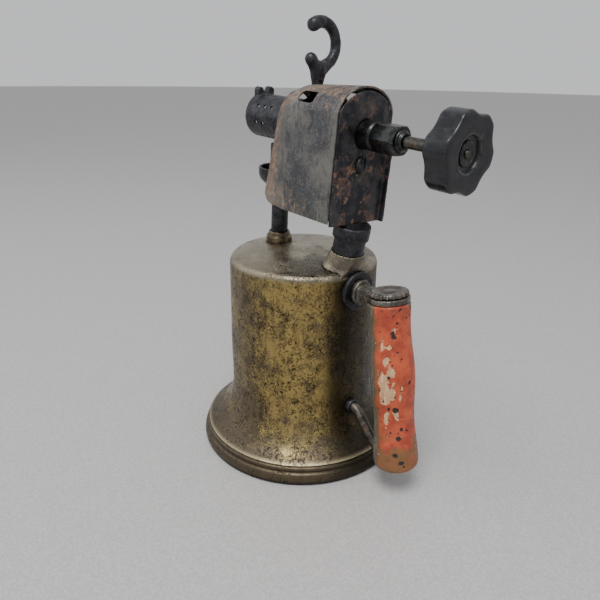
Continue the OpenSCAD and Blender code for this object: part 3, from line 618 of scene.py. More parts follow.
FINISH = {
    "aged_brass": brass_tank(),
    "old_brass": metal("old_brass", (0.075, 0.062, 0.045), (0.235, 0.185, 0.115),
                       (0.42, 0.33, 0.19), size=5, shine=0.38),
    "brass_fittings": metal("brass_fittings", (0.36, 0.25, 0.10), (0.60, 0.44, 0.19),
                            (0.75, 0.58, 0.30), size=8, shine=0.28),
    "black_iron": metal("black_iron", (0.013, 0.014, 0.018), (0.050, 0.050, 0.056),
                        (0.135, 0.132, 0.130), size=6, shine=0.42, rust=0.02, metallic=0.7,
                        depth=0.16, wear=0.55),
    "hood_steel": hood_steel(),
    "plate_steel": plate_steel(),
    "grey_steel": metal("grey_steel", (0.026, 0.027, 0.029), (0.074, 0.076, 0.076),
                        (0.20, 0.20, 0.18), size=5, shine=0.36),
    "stem_steel": metal("stem_steel", (0.045, 0.043, 0.038), (0.110, 0.104, 0.090),
                        (0.26, 0.23, 0.17), size=4, shine=0.36, rust=0.05),
    "knob_plastic": knob_plastic(),
    "painted_wood": painted_wood(),
    "bracket_iron": metal("bracket_iron", (0.070, 0.064, 0.056), (0.200, 0.180, 0.150),
                          (0.36, 0.33, 0.28), size=5, shine=0.40, rust=0.05, metallic=0.8,
                          depth=0.18),
    "tube_steel": metal("tube_steel", (0.060, 0.054, 0.046), (0.150, 0.134, 0.112),
                        (0.30, 0.27, 0.22), size=6, shine=0.48, rust=0.05),
    "rod_steel": metal("rod_steel", (0.25, 0.245, 0.235), (0.44, 0.43, 0.41),
                       (0.60, 0.59, 0.57), size=6, shine=0.24),
    "leather": plain("leather", (0.055, 0.032, 0.018), (0.135, 0.080, 0.045), 2.5, 0.6),
    "graphite": plain("graphite", (0.02, 0.02, 0.021), (0.06, 0.06, 0.062), 1.5, 0.5),
    "wick_cotton": plain("wick_cotton", (0.33, 0.29, 0.21), (0.62, 0.56, 0.44), 2, 0.85,
                         depth=0.15, stretch=(1, 1, 4)),
}
NODE_SLOTS = {p["node"]: p["material_slot"] for p in frame["record"]["subparts"]}


def settle(ob, body, *nodes, slot=None, angle=35):
    """Gives a finished piece its finish and its body, and hides the CAD nodes that it stands for."""
    slot = slot or NODE_SLOTS[nodes[0]]
    ob.data.materials.clear()
    ob.data.materials.append(FINISH[slot])
    shaded(ob, angle)
    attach(ob, body)
    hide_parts(*nodes)
    return ob


# ---- tank ----

TANK_R = 49
BELL_CURVE_R = 35.4
BELL_Z = 44.5
BELL_FOOT_Z = 14
SHEET = 1.3
SHOULDER_R = 44.4
SHOULDER_Z = 129
DOME_Z = 137.5
DOME_DROP = 3.2


def bell_r(z, inset):
    reach = math.sqrt((BELL_CURVE_R + inset) ** 2 - (BELL_Z - z) ** 2)
    return TANK_R + BELL_CURVE_R - reach


def tank_profile(inset):
    """The tank's outline from the foot of the bell to the top, set in by a thickness."""
    steps = 24
    heights = [mix(BELL_FOOT_Z, BELL_Z, i / steps) for i in range(steps + 1)]
    line = [(bell_r(z, inset), z) for z in heights]
    line += [(TANK_R - inset, SHOULDER_Z - 1)]
    rise = DOME_Z - DOME_DROP - SHOULDER_Z
    for i in range(1, 13):
        a = math.radians(7.5 * i)
        across = SHOULDER_R + (TANK_R - SHOULDER_R - inset) * math.cos(a)
        line.append((across, SHOULDER_Z + (rise - inset) * math.sin(a)))
    for i in range(1, 13):
        t = i / 12
        line.append((SHOULDER_R * (1 - t), DOME_Z - DOME_DROP * (1 - t) ** 2 - inset))
    return line


def dents(r, z, a):
    """Slow waves in the drawn sheet with finer ripples on them, fading away near the axis and weaker out on the
    rim.
    """
    p = Vector((math.cos(a), math.sin(a), z / TANK_R)) * 1.6
    wave = 0.34 * noise.noise(p) + 0.12 * noise.noise(p * 4)
    fade = smooth_step(r / 20) * (1 - 0.7 * smooth_step((r - 60) / 8))
    return r + (wave - 0.25) * fade


def build_tank():
    """Bell-footed can: a rolled rim, a bead and a fine groove under the flare."""
    foot = bell_r(BELL_FOOT_Z, 0)
    rim = [(66.6, 0.25), (67.2, 0.0), (68.6, 0.0), (69.6, 0.9), (70.1, 2.4), (70.15, 4.2),
           (69.8, 6.2), (69.1, 7.7), (68.2, 8.4), (67.75, 9.0), (68.0, 9.8), (68.15, 10.6),
           (67.8, 11.6), (67.0, 12.2), (66.75, 12.7), (66.95, 13.3)]
    outside = divided(tank_profile(0)[1:], 1.6)
    inside = divided(tank_profile(SHEET)[::-1], 3)
    lip = [(foot - 1.0, 12.5), (66.2, 8), (66.4, 3), (66.6, 0.25)]
    tank = lathe("tank", [*divided(rim, 0.5), *outside, *inside, *lip], TORCH, 240, dents)
    settle(tank, "torch", "tank_shell", angle=60)


def build_tank_bottom():
    """Domed disc let into the bell, with its soldered edge and the filler."""
    seat = z_range("tank_bottom")[0]
    edge = bell_r(seat + SHEET, SHEET) - 0.1
    under = [(0, seat + 3), (edge * 0.5, seat + 2.3), (edge - 4, seat + 0.4), (edge - 2.4, seat),
             (edge, seat - 1.2), (edge, seat + 1.6), (edge * 0.5, seat + 3.6), (0, seat + 4.3)]
    floor = solid_turned("tank_floor", under, TORCH, 1.2, 120)
    settle(weathered(floor, 0.12, 12, 3), "torch", "tank_bottom")
    bore, r = 6.1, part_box("filler_boss")[1].x / MM
    low, high = z_range("filler_boss")
    boss = [(bore, low), (r, low), (r, high - 3), (bore, high - 3)]
    settle(turned("filler_seat", boss, TORCH, 0.5), "torch", "filler_boss")
    low, high = z_range("filler_washer")
    ring = [(bore, low), (9, low), (9, high), (bore, high)]
    settle(turned("filler_gasket", ring, TORCH, 0.4), "filler_carrier", "filler_washer")
    build_filler_plug()


def hex_nut(name, across_flats, low, high, place, chamfer=0.9):
    """A hexagon with its corners turned off at both ends, as on a machined nut."""
    r = across_flats / math.sqrt(3)
    corner, inner = r + 0.3, across_flats / 2 + 0.1
    angles = [math.radians(60 * k + 30) for k in range(6)]
    nut = prism(name, [(r * math.cos(a), r * math.sin(a)) for a in angles], low, high, place)
    turnery = solid_turned("turnery", [(0, low), (inner, low), (corner, low + chamfer),
                                       (corner, high - chamfer), (inner, high), (0, high)],
                           place, 0.05)
    return bevelled(cut(nut, turnery, operation="INTERSECT"), 0.25, 2, 20)


def block(name, size, centre, place):
    x, y, z = (s / 2 for s in size)
    outline = [(-x, -y), (x, -y), (x, y), (-x, y)]
    return prism(name, outline, -z, z, place @ Matrix.Translation(centre))


def build_filler_plug():
    lo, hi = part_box("filler_plug")
    (base, top), head = z_range("filler_plug"), 5.9
    flats = min((hi.y - lo.y) / MM, (hi.x - lo.x) / MM)
    plug = hex_nut("plug_head", flats, base, base + head, TORCH)
    cut(plug, block("slot", (40, 2.4, 4.8), (0, 0, base), TORCH))
    shank = [(0, base + 3.2), (5.8, base + 3.2), (5.95, base + 6), (5.95, top - 1),
             (5, top), (0, top)]
    whole = joined("filler_screw", plug, solid_turned("shank", shank, TORCH))
    settle(whole, "filler_screw", "filler_plug")


# ---- pipes, neck, cup and casting ----


def build_cast(node, name, voxel, rounds, rough, angle=50):
    """A casting in its CAD shape with soft edges; rough is its skin's depth, size and seed."""
    skin = fused(copy_of(node, name), voxel, rounds)
    settle(weathered(skin, *rough), "torch", node, angle=angle)


def build_pipes():
    low, step, top = -86, -76.5, -73.5
    collar = [(5.75, low), (9.1, low), (9.0, low + 4, 0.8), (8.6, step, 1.2), (7.5, step, 0.6),
              (7.2, top, 1.0), (5.75, top)]
    settle(turned("pipe_collar", collar, PIPE, 0.5), "torch", "feed_collar")
    pipe = [(4.3, -184), (5.65, -184), (5.65, -60), (5.6, -24), (4.3, -24)]
    settle(weathered(turned("front_pipe", pipe, PIPE, 0.3, 64, 2), 0.1, 5, 11),
           "torch", "feed_pipe")
    neck = [(5.1, -6), (9.7, -6), (9.7, 4), (9.75, 24.6), (5.1, 24.6)]
    settle(weathered(turned("rear_neck", neck, NECK, 0.4, 80, 1.5), 0.12, 6, 12),
           "torch", "burner_neck")
    build_cast("neck_bush", "neck_seat", 0.45, 9, (0.1, 9, 13), angle=60)


def build_cup():
    rim, knee, low = -30.3, -38, -42.6
    r, inner = 14.6, 5.75
    cup = [(inner, low), (8.4, low, 1), (r - 1.2, knee - 0.3, 2), (r - 0.1, knee + 2.4, 1.5),
           (r, rim - 1.4, 0.4), (r, rim, 0.5), (r - 1.5, rim, 0.5), (r - 1.6, knee + 2.4, 1.5),
           (8.2, low + 2.4, 1.2), (7.6, low + 3.4, 0.5), (inner, low + 3.4)]
    settle(weathered(turned("priming_bowl", cup, PIPE, 0.5, 96, 0.9), 0.16, 4, 21),
           "torch", "priming_cup")


def build_casting():
    """Burner body with soft cast edges, and the jet in its front."""
    build_cast("burner_casting", "burner_body", 0.62, 5, (0.16, 3.5, 22))
    jet = hex_nut("jet_head", 6.9, -19.2, -16, BURNER @ ALONG_X, 0.5)
    tip = [(0.5, -21), (1.8, -21), (1.8, -19), (0.5, -19)]
    nozzle = turned("jet_tip", tip, BURNER @ ALONG_X, 0.4, 32)
    settle(joined("burner_jet", jet, nozzle), "torch", "gas_jet")


HOOK_U = 35.5
HOOK_LEAN = math.radians(-3.5)
HOOK_CENTRE = (1.5, 44.5)
HOOK_ARC_R = 11.75


def build_hook():
    """Forged fork: the stem opens into a short prong and a long arm that curls over."""
    place = (HOOD @ Matrix.Translation((-HOOK_U, 0, 0))
             @ Matrix.Rotation(HOOK_LEAN, 4, "Y"))
    fork = Vector((0, 0, 29.5))
    stem = [(0, 0, mix(14.6, 31, i / 10)) for i in range(11)]
    stem_r = [3.35 + 1.5 * smooth_step((i - 4) / 6) for i in range(11)]
    arm = [tuple(fork.lerp(Vector((0, 7.9, 34.8)), t / 4)) for t in range(4)]
    angles = [mix(-56, 124, i / 30) for i in range(31)]
    arm += [(0, HOOK_CENTRE[0] + HOOK_ARC_R * math.cos(math.radians(a)),
             HOOK_CENTRE[1] + HOOK_ARC_R * math.sin(math.radians(a))) for a in angles]
    arm_r = [4.2, 4.1, 3.9, 3.7]
    arm_r += [3.3 - 0.2 * math.sin(math.pi * min(1, i / 18)) + 0.6 * smooth_step((i - 23) / 7)
              for i in range(31)]
    prong = [(0, mix(0, -6.0, i / 8), mix(29.3, 36.2, i / 8)) for i in range(9)]
    prong_r = [4.6 - 0.55 * math.sin(math.pi * i / 8) - 0.95 * i / 8 for i in range(9)]
    bars = [sweep("bar", path, radii, place)
            for path, radii in ((stem, stem_r), (arm, arm_r), (prong, prong_r))]
    hook = fused(joined("iron_rest", *bars), 0.42, 9)
    settle(weathered(hook, 0.16, 3, 24), "torch", "iron_hook", angle=60)


# ---- hood and rear plate ----

HOOD_HALF = 22.5
HOOD_DROP = 49
HOOD_FRONT = 53.5
HOOD_BACK = 4
HOOD_SHEET = 1.0
TUBE_HUG_HALF = 15.2
TUBE_HUG_SPRING = -3
ARCH_SPRING = 9.5
BLEND_LEN = 19
FRONT_CORNER = 9
FRONT_TOP = 18.3
MIDDLE_TOP = 22
HOOD_CLIMB = 3.3  # of the ridge, over the hood's length
HOLE_R = 5.2


def hood_foot(u):
    """Height of the hood's bottom edge, rounded up at the front corner."""
    if u >= FRONT_CORNER:
        return -HOOD_DROP
    lift = FRONT_CORNER - math.sqrt(FRONT_CORNER ** 2 - (FRONT_CORNER - u) ** 2)
    return lift - HOOD_DROP


def hood_section(u, inset, rows):
    """Half a cross-section at distance u behind the front edge, from the foot to the top: it
    hugs the tube at the front and opens into a wide arch at the back."""
    s = smooth_step(u / BLEND_LEN)
    half = mix(TUBE_HUG_HALF, HOOD_HALF, s) - inset
    spring = mix(TUBE_HUG_SPRING, ARCH_SPRING, s)
    climb = HOOD_CLIMB * u / (HOOD_FRONT + HOOD_BACK)
    rise = mix(FRONT_TOP, MIDDLE_TOP, s) + climb - spring - inset
    foot = hood_foot(u)
    foot_half = mix(HOOD_HALF - inset, half, s)
    lean = (foot + HOOD_DROP) / (spring + HOOD_DROP)
    start = mix(foot_half, half, lean)
    wall = [(mix(start, half, i / rows), mix(foot, spring, i / rows)) for i in range(rows)]
    arch = [(half * math.cos(math.radians(a)), spring + rise * math.sin(math.radians(a)))
            for a in [90 * i / rows for i in range(rows + 1)]]
    return wall + arch


def hood_wave(p):
    """How far the thin sheet bulges sideways, in millimetres."""
    return 0.35 * noise.noise(Vector(p) * 0.045) + 0.10 * noise.noise(Vector(p) * 0.16)


def build_hood():
    """Folded sheet hood, open below and behind, with slots for air and a hole for the hook."""
    length, rows, stations = HOOD_FRONT + HOOD_BACK, 22, 64
    verts, loop = [], 0
    for j in range(stations + 1):
        u = length * (j / stations) ** 1.25
        outer, inner = hood_section(u, 0, rows), hood_section(u, HOOD_SHEET, rows)
        line = [*outer, *[(-v, w) for v, w in outer[-2::-1]]]
        line += [*[(-v, w) for v, w in inner], *inner[-2::-1]]
        loop = len(line)
        for v, w in line:
            bulge = hood_wave((u, v, w))
            verts.append((u - HOOD_FRONT, v - math.copysign(abs(bulge), v) * (abs(v) > 3),
                          w - 0.3 * abs(bulge)))
    faces = sleeve(stations + 1, loop)
    half = loop // 2
    for base in (0, stations * loop):
        faces += [(base + k, base + k + 1, base + loop - 2 - k, base + loop - 1 - k)
                  for k in range(half - 1)]
    hood = make("hood", verts, faces, HOOD)
    cutters = [air_slot(side) for side in (-1, 1)]
    hole = drill(HOLE_R, 15, 35, HOOD @ Matrix.Translation((-HOOK_U, 0, 0)), 32)
    cut(hood, *cutters, hole)
    settle(bevelled(hood, 0.28, 2, 50), "torch", "hood_shell", angle=40)


def air_slot(side):
    """Cutter for the rounded oblong window high on one side of the hood."""
    long, wide, r = 6.7, 2.9, 2.1
    outline = []
    for cx, cy, a0 in ((1, 1, 0), (-1, 1, 90), (-1, -1, 180), (1, -1, 270)):
        for i in range(7):
            a = math.radians(a0 + 15 * i)
            outline.append((cx * (long - r) + r * math.cos(a), cy * (wide - r) + r * math.sin(a)))
    place = (HOOD @ Matrix.Translation((-24, side * 20, 16.6))
             @ Matrix.Rotation(math.pi / 2, 4, "X"))
    return prism("air_slot", outline, -8, 8, place)


PLATE_HALF = 21.3
PLATE_LOW = -51
PLATE_SPRING = 12
PLATE_RISE = 10.8
PLATE_HOLE_R = 8.1
SCREW_DROP = 16.9


def build_rear_plate():
    """Arched sheet with a flange folded back along its far side."""
    radius = (PLATE_HALF ** 2 + PLATE_RISE ** 2) / (2 * PLATE_RISE)
    open_angle = math.asin(PLATE_HALF / radius)
    centre = PLATE_SPRING + PLATE_RISE - radius
    arch = []
    for i in range(33):
        a = math.pi / 2 - open_angle + 2 * open_angle * i / 32
        arch.append((radius * math.cos(a), centre + radius * math.sin(a)))
    upright = HOOD @ Matrix(((0, 0, 1, 0), (1, 0, 0, 0), (0, 1, 0, 0), (0, 0, 0, 1)))
    outline = [(-PLATE_HALF, PLATE_LOW), (PLATE_HALF, PLATE_LOW), *arch]
    plate = prism("rear_cover", outline, 3.9, 4.95, upright)
    flange = block("flange", (4.7, 1.15, 39.8), (6.3, PLATE_HALF - 0.6, -31), HOOD)
    cut(plate, flange, operation="UNION")
    skin = fused(cut(plate, drill(PLATE_HOLE_R, 0, 9, HOOD @ ALONG_X, 64)), 0.5, 3)
    settle(weathered(skin, 0.22, 14, 31), "torch", "rear_plate", angle=40)


def build_plate_screw():
    """Slotted round-head screw."""
    place = HOOD @ Matrix.Translation((0, 0, -SCREW_DROP)) @ ALONG_X
    head = [(0, 3), (2.1, 3), (2.1, 5.0), (5.0, 5.0, 0.2), (5.15, 5.9, 0.6), (4.4, 6.9, 1.2),
            (2.4, 7.2, 2.0), (0, 7.25)]
    screw = solid_turned("cover_screw", head, place, 0.2, 64, 1)
    cut(screw, block("slot", (20, 1.3, 2.4), (0, 0, 7.2), place))
    settle(bevelled(screw, 0.12, 2, 40), "torch", "plate_screw")


# ---- valve ----


def build_valve():
    place = BURNER @ ALONG_X
    bonnet = [(3.45, -3.6), (5.95, -3.6), (5.95, 3.7), (7.9, 3.9, 0.3), (8.0, 12.6, 0.6),
              (7.3, 14.4, 0.8), (5.5, 14.6), (5.5, 21.8), (4.8, 22), (4.8, 16.2), (3.45, 16)]
    body = turned("valve_boss", bonnet, place, 0.3, 96, 1.5)
    settle(weathered(body, 0.12, 4, 41), "torch", "valve_bonnet")
    nut = hex_nut("nut_hex", 15, 14.9, 30.9, place, 1.1)
    bore = solid_turned("bore", [(0, 14), (5.65, 14), (5.65, 22.5), (3.45, 23), (3.45, 40),
                                 (0, 40)], place, 0.01, 48)
    cut(nut, bore)
    collar = turned("nut_collar", [(3.45, 30.7), (6.2, 30.7), (6.0, 31.6, 0.5), (4.95, 32.1, 0.6),
                                   (4.9, 33.7, 0.8), (3.45, 33.9)], place, 0.3, 64, 1)
    settle(joined("gland_nut", nut, collar), "torch", "packing_nut")
    stem = [(0, -9.3), (0.5, -9.3), (2.3, -4.9), (3.25, -4.7), (3.25, 58.2), (2.15, 58.4),
            (2.15, 70.9), (1.6, 71.6), (0, 71.7)]
    settle(solid_turned("spindle", stem, place, 0.3, 48, 2), "needle", "valve_stem")


KNOB_R = 21.1
KNOB_FACE = 72.8
KNOB_DEPTH = 14.4
LOBES = 6
FLUTE_R = 17
FLUTE_OFFSET = 35.8
LOBE_TURN = math.radians(18)


def lobe_radius(a):
    """The knob's outline: a circle bitten by six wide flutes, with softened shoulders."""
    sector = 2 * math.pi / LOBES
    off = (a + sector / 2) % sector - sector / 2
    flute = abs(abs(off) - sector / 2)
    cosine = FLUTE_OFFSET * math.cos(flute)
    inside = FLUTE_R ** 2 - (FLUTE_OFFSET * math.sin(flute)) ** 2
    bitten = cosine - math.sqrt(inside) if inside > 0 else KNOB_R + 3
    sharp = 1.6
    return -math.log(math.exp(-sharp * KNOB_R) + math.exp(-sharp * bitten)) / sharp


def knob_rings():
    """(inset from the lobed outline, radius of the round outline, share of the lobed one,
    height) of each ring, from the hub round the rim to the bottom of the recess."""
    back, face = KNOB_FACE - KNOB_DEPTH, KNOB_FACE
    rings = [(0, 3.4, 0, back - 4.4), (0, 7.9, 0, back - 4.4), (0, 8.3, 0, back - 4.0),
             (0, 8.4, 0, back - 0.8), (0, 9.2, 0.0, back - 0.05)]
    rings += [(7.0, 0, 1, back + 0.3), (3.0, 0, 1, back + 0.55)]
    for i in range(6):
        a = math.radians(90 - 18 * i)
        rings.append((1.6 - 1.6 * math.cos(a), 0, 1, back + 2.1 - 1.6 * math.sin(a)))
    for i in range(1, 5):
        rings.append((0.0, 0, 1, mix(back + 2.1, face - 1.3, i / 5)))
    for i in range(7):
        a = math.radians(15 * i)
        rings.append((1.2 - 1.2 * math.cos(a), 0, 1, face - 1.3 + 1.2 * math.sin(a)))
    for i in range(7):
        t = i / 6
        rings.append((2.4 + t, 11.2, 1 - t, face - 0.05 - 0.3 * smooth_step(t)))
    rings += [(0, 10.2, 0, face - 0.35),
              (0, 9.4, 0, face - 0.6), (0, 8.9, 0, face - 1.2), (0, 8.7, 0, face - 2.5),
              (0, 7.2, 0, face - 2.6), (0, 6.6, 0, face - 2.7), (0, 2.3, 0, face - 2.7)]
    return rings


def build_knob():
    """Moulded six-lobed knob with a recessed centre."""
    place = BURNER @ ALONG_X @ Matrix.Rotation(math.pi + LOBE_TURN, 4, "Z")
    rings, steps = knob_rings(), 300
    verts = spun(steps, lambda a: [(mix(plain_r, lobe_radius(a) - inset, share), z)
                                   for inset, plain_r, share, z in rings])
    knob = make("knob", verts, belts(len(rings), steps, True), place)
    settle(knob, "knob", "valve_knob", angle=40)
    floor = KNOB_FACE - 2.7
    ring = [(2.3, floor), (6.5, floor), (6.5, floor + 0.9, 0.35), (5.4, floor + 1.15, 0.3),
            (5.0, floor + 0.6, 0.3), (2.9, floor + 0.5, 0.2), (2.3, floor + 0.5)]
    settle(turned("knob_washer", ring, BURNER @ ALONG_X, 0.2, 72, 1), "knob", "knob_ring")


# ---- handle ----

GRIP_LEN = 107
GRIP_BORE_R = 8.4


def grip_r(s):
    return 13.55 - 0.006 * s + 0.75 * math.cos(math.radians(360 * (s - 4) / 58))


def grip_profile():
    foot = [(GRIP_BORE_R, 0.1), (9.5, 0.0)]
    foot += [(10.6 + 3.4 * math.cos(math.radians(a)), 3.4 + 3.4 * math.sin(math.radians(a)))
             for a in range(-70, 0, 12)]
    wall = [(grip_r(s) - 0.12, s) for s in np.arange(4.4, GRIP_LEN - 1.2, 0.45)]
    top = [(grip_r(GRIP_LEN) - 0.5, GRIP_LEN - 0.5), (grip_r(GRIP_LEN) - 1.6, GRIP_LEN - 0.05),
           (GRIP_BORE_R, GRIP_LEN - 0.05), (GRIP_BORE_R, GRIP_LEN - 6)]
    return foot + wall + top


# flaked places seen on the grip's near side, by kind: angle round the grip in degrees from the
# way to the near side, height, half width and half height in millimetres
FLAKES = {
    "chip": (
        (-26, 58, 4.6, 19), (-8, 55, 2.6, 8), (-22, 74, 2.6, 6), (-30, 84, 2.4, 5),
        (-12, 70, 2.2, 6), (-30, 36, 2.4, 5), (10, 52, 1.3, 5), (16, 57, 0.9, 4),
        (-12, 83, 2.2, 2.4), (-4, 68, 1.8, 4), (-2, 40, 2.6, 4.5), (2, 92, 2.2, 2.5),
    ),
    "pit": (
        (-1, 43, 2.4, 2.6), (0, 90, 3.4, 3.0), (-16, 64, 1.4, 1.6), (36, 59, 2.4, 3.0),
        (2, 24, 2.2, 1.6), (-8, 13, 2.4, 1.6), (12, 30, 1.6, 1.8), (-18, 28, 1.8, 2.2),
        (8, 8, 2.0, 1.4), (-20, 44, 1.3, 2.0), (14, 97, 1.4, 1.8),
    ),
}
NEAR_SIDE = math.radians(-42)


def flake_share(kind, turn, s, p):
    """How deep a point lies in the flaked places of one kind, 0 outside them."""
    most = 0.0
    for degrees, height, half_wide, half_high in FLAKES[kind]:
        across = (turn - math.radians(degrees)) * 13.5 / half_wide
        along = (s - height) / half_high
        rag = 0.75 * noise.fractal(p * 0.22, 1.0, 2.2, 3)
        most = max(most, 1.15 - math.hypot(across, along) + rag)
    return min(1.0, most)


def paint_loss(v):
    """Chip, bare wood, pit, and staining with painted shade, at one point of the grip, each from 0 to 1."""
    s = v[2]
    a = math.atan2(v[1], v[0])
    turn = (a - NEAR_SIDE + math.pi) % (2 * math.pi) - math.pi
    p = Vector(v)
    coarse = noise.fractal(p * 0.10, 1.0, 2.0, 4)
    fine = noise.fractal(p * 0.42, 0.9, 2.1, 4)
    # the side towards the tank is worn to the wood, and so are the top and foot edges
    inner = smooth_step((math.radians(-46) - turn) / math.radians(24))
    outer = smooth_step((turn - math.radians(118)) / math.radians(40))
    worn = max(inner, outer * 0.8)
    ends = max(smooth_step((s - 100) / 4), smooth_step((4 - s) / 3))
    bare = worn * 0.95 + coarse * 0.40 + ends * 0.55 - 0.12
    chip = 0.34 * coarse + 0.52 * fine + 0.10 * worn - 0.12
    chip = max(chip + 0.12, flake_share("chip", turn, s, p))
    speck = noise.fractal(p * 0.46 + Vector((9, 4, 2)), 0.8, 2.2, 3)
    pit = max(1.25 * speck - 0.30, flake_share("pit", turn, s, p))
    stain_and_shade = 1.25 - s / 26 + 0.7 * coarse
    # painted shade: the side towards the tank is darkened as well, beside the staining at the foot
    stain_and_shade = max(stain_and_shade, 0.75 * smooth_step((math.radians(-30) - turn) / 0.5) + 0.3 * coarse)
    return chip, bare, pit, min(1.0, max(0.0, stain_and_shade))


def build_grip():
    """Turned grip whose paint stands proud of the chipped and worn places."""
    profile = grip_profile()
    steps, verts, shares = 220, [], []
    for k in range(steps):
        a = 2 * math.pi * k / steps
        for r, s in profile:
            chip, bare, pit, stain_and_shade = paint_loss((r * math.cos(a), r * math.sin(a), s))
            sunk = max(0.16 * smooth_step((chip - 0.38) / 0.2),
                       0.22 * smooth_step((bare - 0.35) / 0.3),
                       0.45 * smooth_step((pit - 0.35) / 0.4))
            r = r - sunk if r > GRIP_BORE_R else r
            verts.append((r * math.cos(a), r * math.sin(a), s))
            shares.append((chip, bare, pit, stain_and_shade))
    faces = belts(len(profile), steps, True)
    mesh = bpy.data.meshes.new("wooden_grip")
    mesh.from_pydata([GRIP @ Vector(v) for v in verts], [], faces)
    for column, name in enumerate(("chip", "bare", "pit", "stain_and_shade")):
        layer = mesh.attributes.new(name, "FLOAT", "POINT")
        layer.data.foreach_set("value", [min(1.0, max(0.0, s[column])) for s in shares])
    ob = bpy.data.objects.new("wooden_grip", mesh)
    bpy.context.scene.collection.objects.link(ob)
    settle(ob, "torch", "handle_grip", angle=50)


def build_pump_top():
    """Gland on the bracket's ring, and the ribbed button on the rod through it."""
    gland = [(2.6, 102.2), (6.9, 102.2), (6.9, 109), (9.9, 109.02), (9.9, 110.35, 0.4),
             (2.6, 110.35, 0.3)]
    settle(turned("pump_cap", gland, GRIP, 0.2, 72, 1.5), "torch", "pump_gland")
    low, high, ribs, steps = 110.78, 113.9, 20, 360
    rings = [(2.55, low + 2.0), (2.55, low), (10.4, low), (10.9, low + 0.3), (11.1, low + 0.8),
             (11.1, high - 1.0), (10.8, high - 0.5), (10.0, high - 0.1), (8.4, high - 0.2),
             (7.4, high - 0.9), (4.6, high - 1.0), (4.0, high - 0.5), (2.0, high - 0.4),
             (0.0, high - 0.4)]

    def ribbed(a):
        swell = 0.75 * max(0.0, math.cos(ribs * a)) ** 0.7
        return [(r + swell * smooth_step((r - 9.4) / 1.2), s) for r, s in rings]

    verts, n = spun(steps, ribbed), len(rings)
    faces = [*belts(n, steps, False), tuple(k * n for k in range(steps))]
    button = make("pump_knob", verts, faces, GRIP)
    settle(weathered(button, 0.10, 3, 53), "plunger", "pump_button", angle=40)


def rounded_route(points, radius, steps=10):
    """Path through points in the XZ plane, each bend rounded."""
    flat = rounded([points[0], *[(*p, radius) for p in points[1:-1]], points[-1]], radius, steps)
    return [(x, 0, z) for x, z in flat]


TUBE_Z = 40


def build_air_tube():
    """Bent tube from the tank's wall down to the grip's foot, and the check valve it feeds."""
    path = rounded_route([(46.2, TUBE_Z), (54.4, TUBE_Z), (73.5, 19.5), (84.4, 19.5)], 7)
    tube = sweep("air_pipe", path, [3.27] * len(path), TORCH, 40)
    settle(weathered(tube, 0.08, 6, 61), "torch", "air_tube", angle=60)
    place = TORCH @ Matrix.Translation((0, 0, TUBE_Z)) @ ALONG_X
    shell = [(3.36, 45.4), (2.0, 45.3), (2.0, 34), (4.4, 33), (4.9, 34), (4.95, 50.8, 0.6),
             (4.4, 51.9, 0.5), (3.36, 51.9)]
    body = turned("valve_tail", shell, place, 0.3, 64, 1.5)
    seat = turned("ball_seat", [(1.7, 36), (5.4, 36), (5.4, 47.9, 0.3), (1.7, 47.9, 0.3)],
                  TORCH @ Matrix.Translation((38, 0, 0)), 0.2, 48, 2)
    whole = fused(joined("check_valve", body, seat), 0.3, 3)
    settle(weathered(whole, 0.08, 4, 63), "torch", "check_body")


def build_foot_cap():
    cap = [(0, -1.55), (7.6, -1.55, 0.8), (8.95, -0.9, 0.4), (8.95, -0.05, 0.3), (6.9, -0.02),
           (6.9, 7.9), (0, 7.9)]
    ob = solid_turned("grip_foot", cap, GRIP, 0.3, 72, 1.5)
    settle(weathered(ob, 0.1, 4, 62), "torch", "barrel_foot")


def dress_cad_nodes():
    """Carried-over nodes keep their shape and get their slot's finish."""
    for name, ob in frame["nodes"].items():
        if not ob.hide_render:
            ob.data.materials.clear()
            ob.data.materials.append(FINISH[NODE_SLOTS[name]])


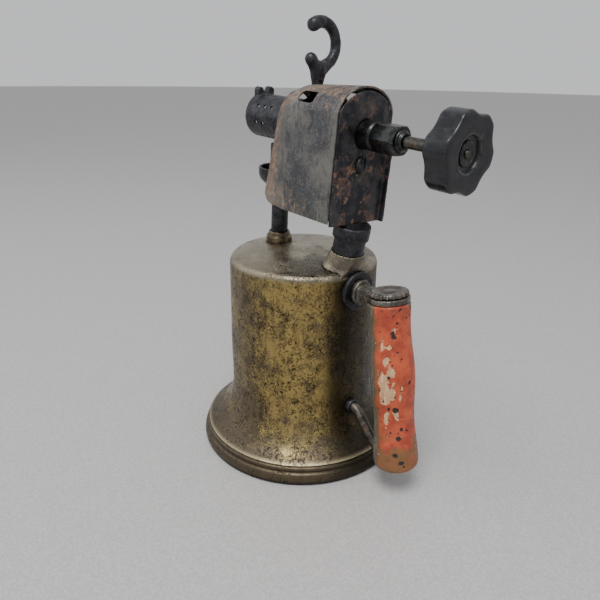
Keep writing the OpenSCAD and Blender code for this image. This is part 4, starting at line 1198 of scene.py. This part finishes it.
build_tank()
build_tank_bottom()
build_pipes()
build_cup()
build_casting()
build_cast("burner_tube", "muzzle", 0.42, 3, (0.13, 2.6, 23))
build_hook()
build_hood()
build_rear_plate()
build_plate_screw()
build_valve()
build_knob()
build_grip()
build_cast("bracket_pad", "wall_pad", 0.5, 6, (0.15, 4, 51))
build_cast("handle_bracket", "grip_bracket", 0.5, 7, (0.25, 4.5, 52))
build_pump_top()
build_air_tube()
build_foot_cap()
dress_cad_nodes()

# ---- floor, light and camera ----


def build_floor():
    bpy.ops.mesh.primitive_circle_add(vertices=96, radius=6, fill_type="NGON")
    floor = bpy.context.object
    floor.name = "floor"
    floor.data.materials.append(floor_finish())


def soft_light(name, place, size, power, colour=(1, 1, 1)):
    """A square soft light aimed at the middle of the torch."""
    light = bpy.data.lights.new(name, "AREA")
    light.shape = "SQUARE"
    light.size, light.energy, light.color = size, power, colour
    ob = bpy.data.objects.new(name, light)
    ob.location = place
    aim = Vector((0.02, 0, 0.13)) - Vector(place)
    ob.rotation_euler = aim.to_track_quat("-Z", "Y").to_euler()
    bpy.context.scene.collection.objects.link(ob)


def build_light():
    world = bpy.data.worlds.new("pale_room")
    world.use_nodes = True
    background = world.node_tree.nodes["Background"]
    background.inputs["Color"].default_value = (0.78, 0.79, 0.81, 1)
    background.inputs["Strength"].default_value = 0.9
    bpy.context.scene.world = world
    soft_light("ceiling", (0.30, -0.45, 1.25), 0.6, 15)
    soft_light("window", (-0.95, -0.75, 0.75), 0.8, 2.6, (0.97, 0.98, 1.0))


def build_camera():
    """At the photograph's angle: 48 degrees round from the torch's near side, looking down."""
    data = bpy.data.cameras.new("camera")
    data.lens, data.sensor_width = 34.8, 36
    cam = bpy.data.objects.new("camera", data)
    cam.location = (0.2718, -0.2473, 0.2511)
    cam.rotation_mode = "QUATERNION"
    forward = Vector((-0.6873, 0.6188, -0.3803))
    cam.rotation_quaternion = forward.to_track_quat("-Z", "Y") @ Quaternion(
        (0, 0, 1), math.radians(0.887))
    bpy.context.scene.collection.objects.link(cam)
    bpy.context.scene.camera = cam


build_floor()
build_light()
build_camera()
